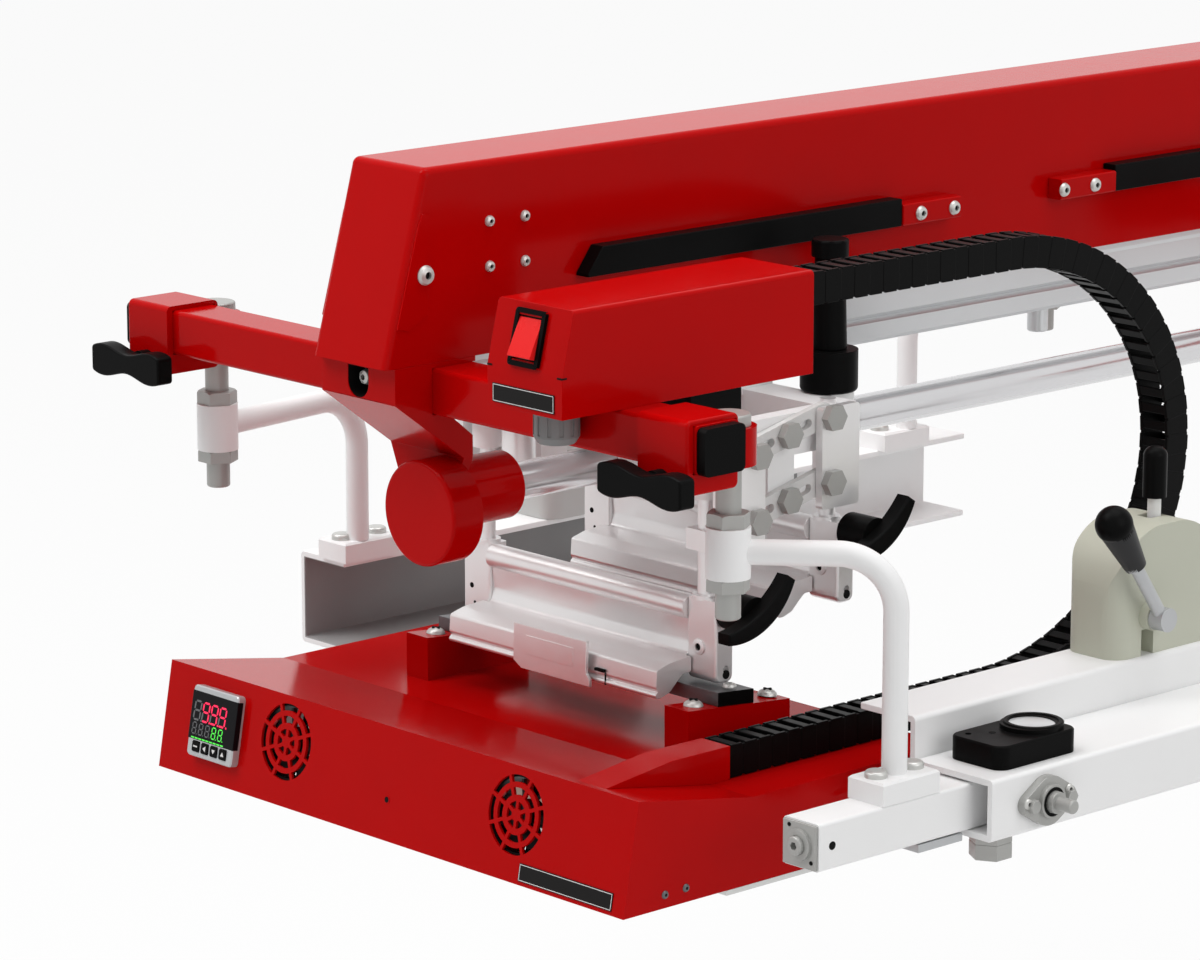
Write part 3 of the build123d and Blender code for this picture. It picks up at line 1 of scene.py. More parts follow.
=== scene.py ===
import functools
import json
import logging
import math
from collections.abc import Callable
from dataclasses import dataclass
from enum import Enum

import bmesh
import bpy
from mathutils import Matrix, Vector


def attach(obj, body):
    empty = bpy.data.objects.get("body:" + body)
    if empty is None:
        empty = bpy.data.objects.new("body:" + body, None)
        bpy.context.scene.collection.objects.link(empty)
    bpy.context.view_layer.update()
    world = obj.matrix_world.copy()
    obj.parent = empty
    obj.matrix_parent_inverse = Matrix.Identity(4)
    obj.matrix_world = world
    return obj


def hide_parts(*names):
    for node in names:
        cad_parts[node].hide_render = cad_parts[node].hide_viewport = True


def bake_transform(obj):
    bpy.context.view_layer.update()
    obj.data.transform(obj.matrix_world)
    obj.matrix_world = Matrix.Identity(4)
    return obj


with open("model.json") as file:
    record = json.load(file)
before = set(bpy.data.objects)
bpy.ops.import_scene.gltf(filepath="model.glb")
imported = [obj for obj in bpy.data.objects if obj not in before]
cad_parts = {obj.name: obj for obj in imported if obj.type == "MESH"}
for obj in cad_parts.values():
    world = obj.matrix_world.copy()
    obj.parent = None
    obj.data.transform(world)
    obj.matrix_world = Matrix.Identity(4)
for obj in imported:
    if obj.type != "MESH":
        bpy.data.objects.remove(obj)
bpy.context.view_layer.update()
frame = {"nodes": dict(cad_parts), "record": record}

LOG = logging.getLogger("heat_press")

# Pieces are laid out in millimetres from the foot of the heater's front face, as the
# press was measured, and moved to the frame's origin at the beam's flange.
MOVE_TO_FLANGE = Matrix.Scale(0.001, 4) @ Matrix.Translation((0, -1080, -378))
# The plane of a section that runs along X: an outline's points are Y and Z in it.
SECTION_PLANE = Matrix(((0, 0, 1, 0), (1, 0, 0, 0), (0, 1, 0, 0), (0, 0, 0, 1)))
ROUNDED_ANGLE = math.radians(28)
SHARP_ANGLE = math.radians(32)
WELD_MM = 0.001
LEVEL_MM = 0.00001
FAR = 2000.0
DUST = (0.55, 0.53, 0.5)
WHITE = (1, 1, 1)

Colour = tuple[float, float, float]
Point = tuple[float, float, float] | Vector
Outline = list[tuple[float, float]]
Shape = bmesh.types.BMesh


class Signal:
    """A shader socket that takes part in Python arithmetic."""

    def __init__(self, graph: "Graph", socket: bpy.types.NodeSocket) -> None:
        """Wrap an output socket of a graph."""
        self.graph = graph
        self.socket = socket

    def _join(
        self, operation: str, other: "Signal | float", turned: bool = False,
    ) -> "Signal":
        """Add one Math node.

        Args:
            operation: The node's operation.
            other: The other value.
            turned: Whether the other value comes first.

        Returns:
            The node's result.
        """
        values = {1: self, 0: other} if turned else {0: self, 1: other}
        return self.graph.node("ShaderNodeMath", {"operation": operation}, values)

    def __add__(self, other: "Signal | float") -> "Signal":
        """Add."""
        return self._join("ADD", other)

    __radd__ = __add__

    def __sub__(self, other: "Signal | float") -> "Signal":
        """Subtract."""
        return self._join("SUBTRACT", other)

    def __rsub__(self, other: float) -> "Signal":
        """Subtract from a number."""
        return self._join("SUBTRACT", other, True)

    def __mul__(self, other: "Signal | float") -> "Signal":
        """Multiply."""
        return self._join("MULTIPLY", other)

    __rmul__ = __mul__

    def clamped(self) -> "Signal":
        """Keep the value between 0 and 1."""
        return self.graph.node("ShaderNodeClamp", {}, {"Value": self})


class Graph:
    """The node graph of a material or of the world."""

    def __init__(self, owner: bpy.types.Material | bpy.types.World) -> None:
        """Start an empty graph.

        Args:
            owner: The material or world that it belongs to.
        """
        owner.use_nodes = True
        self.owner = owner
        self.tree = owner.node_tree
        self.tree.nodes.clear()

    def node(
        self,
        kind: str,
        settings: dict[str, object] | None = None,
        sockets: dict[str | int, object] | None = None,
        output: str | int = 0,
    ) -> Signal:
        """Add a node, set it and feed it.

        Args:
            kind: The node's type.
            settings: Values for the node's own properties.
            sockets: Values or links for its inputs.
            output: The output to hand back.

        Returns:
            The chosen output.
        """
        made = self.tree.nodes.new(kind)
        for key, value in (settings or {}).items():
            setattr(made, key, value)
        for key, value in (sockets or {}).items():
            socket = made.inputs[key]
            if isinstance(value, Signal):
                self.tree.links.new(value.socket, socket)
            elif isinstance(value, tuple) and len(value) == 3 and socket.type == "RGBA":
                socket.default_value = (*value, 1)
            else:
                socket.default_value = value
        return Signal(self, made.outputs[output])

    def noise(self, place: Signal, size_mm: float, detail: float) -> Signal:
        """Noise with grains of about a given size.

        Args:
            place: The coordinates, in metres.
            size_mm: The size of a grain.
            detail: How many finer layers it has.

        Returns:
            The noise, about 0 to 1.
        """
        sockets = {"Vector": place, "Scale": 1000 / size_mm, "Detail": detail}
        return self.node("ShaderNodeTexNoise", {}, sockets, "Fac")

    def mix(self, share: Signal, first: Signal | Colour, second: Signal | Colour) -> Signal:
        """Mix two colours.

        Args:
            share: The second colour's share.
            first: The first colour.
            second: The second colour.

        Returns:
            The mixed colour.
        """
        sockets = {0: share, 6: first, 7: second}
        return self.node("ShaderNodeMix", {"data_type": "RGBA"}, sockets, 2)

    def looked_at(self) -> Signal:
        """Tell the camera's look and reflections from the light on other surfaces.

        Returns:
            1 where it is looked at, straight or in a reflection, and 0 for other light.
        """
        kinds = ("Is Camera Ray", "Is Glossy Ray", "Is Transmission Ray")
        camera, glossy, through = (self.node("ShaderNodeLightPath", output=kind) for kind in kinds)
        return (camera + glossy + through).clamped()

    def end(self, shader: Signal, kind: str = "ShaderNodeOutputMaterial") -> bpy.types.ID:
        """End the graph in its output node.

        Args:
            shader: The shader to show.
            kind: The output node's type.

        Returns:
            The material or world.
        """
        last = self.tree.nodes.new(kind)
        self.tree.links.new(shader.socket, last.inputs["Surface"])
        return self.owner


class Grain(Enum):
    """The fine relief of a surface."""

    ORANGE_PEEL = "sprayed paint"
    MOULDED = "moulded plastic"
    DRAWN_X = "drawn or brushed along X"
    DRAWN_Y = "drawn or brushed along Y"
    DRAWN_Z = "turned, with fine rings along Z"
    BLASTED = "blasted or cast"


STRETCH = {
    Grain.DRAWN_X: (0.03, 1.0, 1.0),
    Grain.DRAWN_Y: (1.0, 0.03, 1.0),
    Grain.DRAWN_Z: (0.04, 0.04, 1.0),
}


@dataclass(frozen=True)
class Finish:
    """A finish: its colour, its gloss and the relief on it.

    Attributes:
        name: The material's name.
        colour: Base colour, linear.
        roughness: Middle roughness.
        metallic: 0 for paint and plastic, 1 for bare metal.
        grain: The kind of relief.
        grain_size: Size of its grains in millimetres.
        depth: Height of the relief in millimetres.
        shade: How far the colour varies.
        shine: Specular level, 0.5 for common paint and plastic.
        dust: How much pale dust lies on upward faces.
        coat: Strength of the clear coat.
    """

    name: str
    colour: Colour
    roughness: float
    metallic: float = 0.0
    grain: Grain = Grain.ORANGE_PEEL
    grain_size: float = 1.5
    depth: float = 0.004
    shade: float = 0.06
    shine: float = 0.5
    dust: float = 0.01
    coat: float = 0.0

    PATCH_MM, PATCH_SHARE = 60, 0.08
    SMUDGE_MM, SMUDGE_SHARE = 9, 0.12
    LYING, SETTLE, DUST_SHARE = 0.7, 3, 0.4
    COAT_ROUGHNESS = 0.12

    def material(self) -> bpy.types.Material:
        """The material, made once."""
        name = self.name + "_finish"
        return bpy.data.materials.get(name) or self._build(Graph(bpy.data.materials.new(name)))

    def _relief(self, graph: Graph, place: Signal) -> Signal:
        """The relief's height, about 0 to 1.

        Args:
            graph: The material's graph.
            place: Object coordinates.

        Returns:
            The height.
        """
        if self.grain is Grain.ORANGE_PEEL:
            sockets = {"Vector": place, "Scale": 1000 / self.grain_size, "Smoothness": 1.0}
            return graph.node("ShaderNodeTexVoronoi", {"feature": "SMOOTH_F1"}, sockets, "Distance")
        if self.grain in STRETCH:
            sockets = {"Vector": place, "Scale": STRETCH[self.grain]}
            place = graph.node("ShaderNodeMapping", {}, sockets)
        return graph.noise(place, self.grain_size, 5)

    def _build(self, graph: Graph) -> bpy.types.Material:
        """Make the nodes.

        Args:
            graph: An empty graph in the material.

        Returns:
            The material.
        """
        place = graph.node("ShaderNodeTexCoord", output="Object")
        patches = graph.noise(place, self.PATCH_MM, 4)
        smudges = graph.noise(place, self.SMUDGE_MM, 4)
        height = self._relief(graph, place)
        low = tuple(max(part * (1 - self.shade), 0.0) for part in self.colour)
        high = tuple(min(part * (1 + self.shade), 1.0) for part in self.colour)
        facing = graph.node("ShaderNodeTexCoord", output="Normal")
        upward = graph.node("ShaderNodeSeparateXYZ", {}, {"Vector": facing}, "Z")
        settled = (upward - self.LYING).clamped() * smudges * self.dust * self.SETTLE
        uneven = (smudges - 0.5) * self.SMUDGE_SHARE
        rough = self.roughness + uneven + (patches - 0.5) * self.PATCH_SHARE
        rough = rough + settled * self.DUST_SHARE
        bump = {"Height": height, "Distance": self.depth / 1000, "Strength": 1.0}
        return graph.end(graph.node("ShaderNodeBsdfPrincipled", {}, {
            "Base Color": graph.mix(settled.clamped(), graph.mix(patches, low, high), DUST),
            "Roughness": rough.clamped(),
            "Metallic": self.metallic,
            "Coat Weight": self.coat,
            "Coat Roughness": self.COAT_ROUGHNESS,
            "Specular IOR Level": self.shine,
            "Normal": graph.node("ShaderNodeBump", {}, bump),
        }))


@dataclass(frozen=True)
class Glow:
    """A lit element of the display.

    Attributes:
        name: The material's name.
        colour: Its colour, linear.
        strength: How strongly it glows.
    """

    name: str
    colour: Colour
    strength: float

    def material(self) -> bpy.types.Material:
        """The material, made once.

        Returns:
            The material.
        """
        name = self.name + "_finish"
        if name in bpy.data.materials:
            return bpy.data.materials[name]
        graph = Graph(bpy.data.materials.new(name))
        grain = graph.noise(graph.node("ShaderNodeTexCoord", output="Object"), 1.5, 2)
        dim = tuple(part * 0.8 for part in self.colour)
        colour = graph.mix(grain, dim, self.colour)
        return graph.end(graph.node("ShaderNodeBsdfPrincipled", {}, {
            "Base Color": colour,
            "Emission Color": colour,
            "Emission Strength": self.strength,
            "Roughness": 0.3 + grain * 0.1,
        }))


RED_PAINT = Finish(
    "red_paint", (0.45, 0.001, 0.0012), 0.13, grain_size=1.4, depth=0.016, shine=0.05, dust=0.003,
)
WHITE_PAINT = Finish("white_paint", (0.88, 0.88, 0.88), 0.4, shade=0.02, shine=0.25)
PLATE_PAINT = Finish("plate_paint", (0.68, 0.68, 0.67), 0.42, shade=0.03, shine=0.3)
# Dark grey painted shade for the inside of the left channel's front part, where shade falls between
# its flanges.
CHANNEL_PAINTED_SHADE = Finish("channel_painted_shade", (0.32, 0.32, 0.32), 0.5, shade=0.12, shine=0.2)
GREY_PAINT = Finish("grey_paint", (0.50, 0.50, 0.49), 0.42, shade=0.03, shine=0.3)

plastic = functools.partial(Finish, grain=Grain.MOULDED)
BEIGE_COVER = plastic("beige_cover", (0.50, 0.51, 0.42), 0.5, grain_size=0.8, depth=0.01)
BLACK_PLASTIC = plastic(
    "black_plastic", (0.003, 0.003, 0.003), 0.36, grain_size=0.6, depth=0.008, shade=0.3,
    shine=0.04, dust=0.002,
)
CHAIN_PLASTIC = plastic(
    "chain_plastic", (0.003, 0.003, 0.003), 0.34, grain_size=0.9, depth=0.01, shade=0.3,
    shine=0.05, dust=0.002,
)
GREY_PLASTIC = plastic(
    "grey_plastic", (0.20, 0.205, 0.205), 0.45, grain_size=0.7, depth=0.008, shine=0.3,
)
DARK_GREY_PLASTIC = plastic(
    "dark_grey_plastic", (0.018, 0.018, 0.019), 0.4, grain_size=0.7, depth=0.006, shine=0.2,
)
SILVER_PLASTIC = plastic("silver_plastic", (0.46, 0.47, 0.48), 0.34, 0.4, grain_size=0.5)
RED_PLASTIC = plastic(
    "red_plastic", (0.80, 0.014, 0.014), 0.3, grain_size=0.7, depth=0.003, shine=0.15,
)
BADGE_BLACK = plastic(
    "badge_black", (0.008, 0.007, 0.007), 0.35, grain_size=0.5, depth=0.001, shine=0.1,
)
BADGE_LINE = plastic("badge_line", (0.72, 0.71, 0.70), 0.5, grain_size=0.5, depth=0.001)
WINDOW_BLACK = plastic(
    "window_black", (0.004, 0.004, 0.005), 0.2, grain_size=1.2, depth=0.0005, shine=0.08,
)
UNLIT = plastic("unlit_segments", (0.11, 0.11, 0.115), 0.4, grain_size=0.6, depth=0.0005)
DIAL_GLASS = plastic(
    "dial_glass", (0.62, 0.63, 0.64), 0.16, grain_size=1.4, depth=0.0005, shade=0.03, coat=0.6,
)

drawn = functools.partial(Finish, grain=Grain.DRAWN_X, grain_size=0.6)
EXTRUDED_ALUMINIUM = drawn(
    "extruded_aluminium", (0.82, 0.81, 0.81), 0.32, 0.6, depth=0.0015, shade=0.04,
)
RAIL_ALUMINIUM = drawn(
    "rail_aluminium", (0.62, 0.63, 0.64), 0.32, 0.6, grain=Grain.DRAWN_Y, depth=0.0015, shade=0.04,
)
PLATEN_ALUMINIUM = drawn(
    "platen_aluminium", (0.60, 0.60, 0.59), 0.4, 0.9, grain_size=0.7, depth=0.006,
)
DARK_STEEL = drawn("dark_steel", (0.13, 0.13, 0.135), 0.42, 0.8, depth=0.006, shade=0.1)
CHROME = drawn(
    "chrome", (0.70, 0.70, 0.71), 0.18, 0.7, grain=Grain.DRAWN_Z, grain_size=0.4, depth=0.001,
    shade=0.02,
)

blasted = functools.partial(Finish, grain=Grain.BLASTED)
STEEL = blasted("steel", (0.38, 0.38, 0.365), 0.4, 0.3, grain_size=0.8, shade=0.07)
SCREW_STEEL = blasted(
    "screw_steel", (0.55, 0.55, 0.53), 0.34, 0.5, grain_size=0.6, depth=0.002, shade=0.04,
)
# Near-black painted shade, laid in holes, sockets, recesses, seams and cuts where shade falls.
HOLE_PAINTED_SHADE = blasted(
    "hole", (0.004, 0.004, 0.004), 0.8, grain_size=0.5, depth=0.002, shade=0.2, shine=0.1,
)
BOARD = blasted("insulation_board", (0.62, 0.58, 0.48), 0.9, grain_size=2.5, depth=0.2, shade=0.12)

RED_GLOW = Glow("red_digits", (0.75, 0.006, 0.06), 1.2)
GREEN_GLOW = Glow("green_digits", (0.06, 0.62, 0.05), 1.0)


def aim(start: Point, axis: Point) -> Matrix:
    """A frame at a start, whose local Z runs along an axis."""
    turn = Vector(axis).to_track_quat("Z", "Y").to_matrix().to_4x4()
    return Matrix.Translation(start) @ turn


def bevel(shape: Shape, items: list, width: float, steps: int = 2, affect: str = "EDGES") -> None:
    """Bevel edges or corners of a shape.

    Args:
        shape: The shape.
        items: The edges or corners.
        width: Width of the bevel.
        steps: How many faces cross it.
        affect: EDGES or VERTICES.
    """
    bmesh.ops.bevel(
        shape, geom=items, offset=width, offset_type="OFFSET", segments=steps, profile=0.5,
        affect=affect, clamp_overlap=True, material=-1,
    )


def level_edges(shape: Shape) -> list[bmesh.types.BMEdge]:
    """The edges of a shape that lie level.

    Args:
        shape: The shape.

    Returns:
        Those edges.
    """
    return [
        edge for edge in shape.edges
        if abs(edge.verts[0].co.z - edge.verts[1].co.z) < LEVEL_MM
    ]


def thicken(shape: Shape, height: float) -> None:
    """Raise the faces of a flat shape and close its sides.

    Args:
        shape: The shape.
        height: How far they go up.
    """
    grown = bmesh.ops.extrude_face_region(shape, geom=list(shape.faces))
    raised = [item for item in grown["geom"] if isinstance(item, bmesh.types.BMVert)]
    bmesh.ops.translate(shape, verts=raised, vec=(0, 0, height))


def make_piece(
    name: str, shape: Shape, body: str, finishes: tuple["Finish | Glow", ...], slot: str,
    replaces: tuple[str, ...] = (), blend: tuple[str, str, Point, Point] | None = None,
) -> None:
    """Make a piece of the visual model.

    Args:
        name: The piece's name.
        shape: Its shape in metres, which is used up.
        body: The body that it rides on; not read for a piece with a blend.
        finishes: Its finishes, in order of their numbers.
        slot: The record's material slot; not used.
        replaces: CAD nodes that it stands for.
        blend: Two bodies and two points; where it is given, only the piece's transform is baked
            into its mesh, and it rides on no body.
    """
    data = bpy.data.meshes.new(name)
    shape.to_mesh(data)
    shape.free()
    data.set_sharp_from_angle(angle=SHARP_ANGLE)
    for finish in finishes:
        data.materials.append(finish.material())
    piece = bpy.data.objects.new(name, data)
    bpy.context.scene.collection.objects.link(piece)
    if blend:
        data.polygons.foreach_set("use_smooth", [False] * len(data.polygons))
        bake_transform(piece)
    else:
        even = piece.modifiers.new("even_shading", "WEIGHTED_NORMAL")
        even.keep_sharp = True
        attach(piece, body)
    if replaces:
        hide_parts(*replaces)
    LOG.info("%s rides on %s, %d faces", name, body, len(data.polygons))


class Bench:
    """Gathers bmesh shapes in millimetres and makes one piece of them.

    A shape's finish is the number of one of the piece's finishes.
    """

    def __init__(self) -> None:
        """Start with nothing on the bench."""
        self.mesh = bmesh.new()

    def take(self, shape: Shape, place: Matrix | None = None, finish: int = 0) -> None:
        """Add a shape.

        Args:
            shape: The shape, which is used up.
            place: Where it goes.
            finish: Its finish.
        """
        if place is not None:
            shape.transform(place)
        for face in shape.faces:
            face.material_index = finish
            face.smooth = True
        bmesh.ops.recalc_face_normals(shape, faces=shape.faces)
        carrier = bpy.data.meshes.new("carrier")
        shape.to_mesh(carrier)
        shape.free()
        self.mesh.from_mesh(carrier)
        bpy.data.meshes.remove(carrier)

    def block(
        self, low: Point, high: Point, width: float = 0.4, finish: int = 0,
        place: Matrix | None = None,
    ) -> None:
        """Add a bevelled block.

        Args:
            low: Its lowest corner.
            high: Its highest corner.
            width: Width of its bevels.
            finish: Its finish.
            place: A further transform.
        """
        shape = bmesh.new()
        size = [b - a for a, b in zip(low, high)]
        middle = [(a + b) / 2 for a, b in zip(low, high)]
        spot = Matrix.Translation(middle) @ Matrix.Diagonal((*size, 1))
        bmesh.ops.create_cube(shape, size=1, matrix=spot)
        if width:
            bevel(shape, list(shape.edges), width)
        self.take(shape, place, finish)

    def bar(
        self, start: Point, end: Point, radius: float, width: float = 0.4, sides: int = 32,
        finish: int = 0,
    ) -> None:
        """Add a round or many-sided bar between two points.

        Args:
            start: The middle of one end.
            end: The middle of the other end.
            radius: Its radius.
            width: Width of the bevel round both ends.
            sides: How many sides it has.
            finish: Its finish.
        """
        shape = bmesh.new()
        axis = Vector(end) - Vector(start)
        bmesh.ops.create_cone(
            shape, cap_ends=True, segments=sides, radius1=radius, radius2=radius,
            depth=axis.length, matrix=Matrix.Translation((0, 0, axis.length / 2)),
        )
        if width:
            bevel(shape, level_edges(shape), width)
        self.take(shape, aim(start, axis), finish)

    def turned(
        self, profile: Outline, start: Point, axis: Point, sides: int = 40, finish: int = 0,
    ) -> None:
        """Add a turned shape.

        Args:
            profile: Points of radius and height, from one end to the other.
            start: Where height 0 lies.
            axis: The direction of its axis.
            sides: How many sides it has.
            finish: Its finish.
        """
        shape = bmesh.new()
        points = [shape.verts.new((radius, 0, height)) for radius, height in profile]
        edges = [shape.edges.new(pair) for pair in zip(points, points[1:])]
        bmesh.ops.spin(
            shape, geom=points + edges, cent=(0, 0, 0), axis=(0, 0, 1), angle=math.tau,
            steps=sides, use_merge=True,
        )
        bmesh.ops.remove_doubles(shape, verts=shape.verts, dist=WELD_MM)
        self.take(shape, aim(start, axis), finish)

    def plate(
        self, outline: Outline, thickness: float, place: Matrix, width: float = 0.3,
        finish: int = 0, corner: float = 0.0,
    ) -> None:
        """Add a flat plate of any outline.

        Args:
            outline: Points in the plate's own plane.
            thickness: How thick it is.
            place: Where its plane lies.
            width: Width of its bevels.
            finish: Its finish.
            corner: Rounding of the outline's corners.
        """
        shape = bmesh.new()
        shape.faces.new([shape.verts.new((x, y, 0)) for x, y in outline])
        if corner:
            bevel(shape, list(shape.verts), corner, 6, "VERTICES")
        thicken(shape, thickness)
        if width:
            bevel(shape, level_edges(shape), width)
        self.take(shape, place, finish)

    def socket_screw(self, seat: Point, axis: Point, radius: float, height: float) -> None:
        """Add a domed screw head in finish 0 with a hexagon socket whose floor is painted shade in
        finish 1.

        Args:
            seat: The middle of its seat.
            axis: The way that it faces.
            radius: Its radius.
            height: Its height.
        """
        profile = [(0.98, 0), (1, 0.25), (0.82, 0.8), (0.42, 1), (0.38, 0.98), (0.36, 0.45)]
        self.turned([(radius * r, height * h) for r, h in profile], seat, axis, 24)
        away = Vector(axis).normalized() * height
        base = Vector(seat) + away * 0.3
        # The socket's floor: a dark hexagon of painted shade.
        self.bar(base, base + away * 0.2, radius * 0.4, 0, 6, 1)

    def hex_head(
        self, seat: Point, axis: Point, flats: float, height: float, finish: int = 0,
    ) -> None:
        """Add a hexagon bolt head with a chamfered top.

        Args:
            seat: The middle of its seat.
            axis: The way that it faces.
            flats: The distance across its flats.
            height: Its height.
            finish: Its finish.
        """
        end = Vector(seat) + Vector(axis).normalized() * height
        self.bar(seat, end, flats / 2 / math.cos(math.pi / 6), 0.7, 6, finish)

    def badge(self, place: Matrix, width: float, height: float) -> None:
        """Add a plain dark plate in finish 0 with a thin pale border in finish 1.

        Args:
            place: The middle of the plate.
            width: Its width.
            height: Its height.
        """
        self.block((-width / 2, -height / 2, 0), (width / 2, height / 2, 0.6), 0.2, 0, place)
        half_line, inset = 0.225, 0.8
        x, y = width / 2 - inset, height / 2 - inset
        for side in (-1, 1):
            for middle, reach in (((0, side * y), (x, half_line)), ((side * x, 0), (half_line, y))):
                low = (middle[0] - reach[0], middle[1] - reach[1], 0.5)
                high = (middle[0] + reach[0], middle[1] + reach[1], 0.68)
                self.block(low, high, 0, 1, place)

    def finish(
        self, name: str, body: str, finishes: tuple[Finish | Glow, ...], slot: str, *more: object,
    ) -> None:
        """Make one piece of everything on the bench.

        Args:
            name: The piece's name.
            body: The body that it rides on, or nothing for a piece with a blend.
            finishes: Its finishes, in order of their numbers.
            slot: The record's material slot.
            more: What make_piece takes after these.
        """
        bmesh.ops.dissolve_degenerate(self.mesh, dist=WELD_MM / 10, edges=self.mesh.edges)
        self.mesh.transform(MOVE_TO_FLANGE)
        make_piece(name, self.mesh, body, finishes, slot, *more)


def piece(name: str, body: str, finishes: tuple[Finish | Glow, ...], slot: str) -> Callable:
    """Let a method that fills a bench make one piece.

    Args:
        name: The piece's name.
        body: The body that it rides on.
        finishes: Its finishes, in order of their numbers.
        slot: The record's material slot.

    Returns:
        The decorator.
    """
    def wrap(fill: Callable[["Trim", Bench], None]) -> Callable[["Trim"], None]:
        """Turn the method into one that makes the piece.

        Args:
            fill: The method, which fills a bench.

        Returns:
            The new method.
        """
        def make(trim: "Trim") -> None:
            """Make the piece.

            Args:
                trim: The sub-assembly that it belongs to.
            """
            bench = Bench()
            fill(trim, bench)
            bench.finish(name, body, finishes, slot)

        make.makes_piece = True
        return make

    return wrap


class Trim:
    """A sub-assembly of pieces that dress the press."""

    def build(self) -> None:
        """Make its pieces in the order of their methods."""
        for method in vars(type(self)).values():
            if getattr(method, "makes_piece", False):
                method(self)


@dataclass(frozen=True)
class Zone:
    """A region of a CAD node that gets a finish of its own.

    Attributes:
        finish: The region's finish.
        low: Its lowest corner in millimetres.
        high: Its highest corner in millimetres.
    """

    finish: Finish
    low: Point
    high: Point

    def holds(self, point: Vector) -> bool:
        """Tell whether a point in millimetres lies in the zone."""
        return all(a <= value <= b for a, value, b in zip(self.low, point, self.high))


def beyond(finish: Finish, x: float) -> tuple[Zone, Zone]:
    """Zones beyond a distance on both sides of the middle, above the foot."""
    right, left = ((x, -FAR, 0), (FAR, FAR, FAR)), ((-FAR, -FAR, 0), (-x, FAR, FAR))
    return Zone(finish, *right), Zone(finish, *left)


def between(finish: Finish, low: float, high: float) -> tuple[Zone]:
    """The zone between two heights."""
    return (Zone(finish, (-FAR, -FAR, low), (FAR, FAR, high)),)


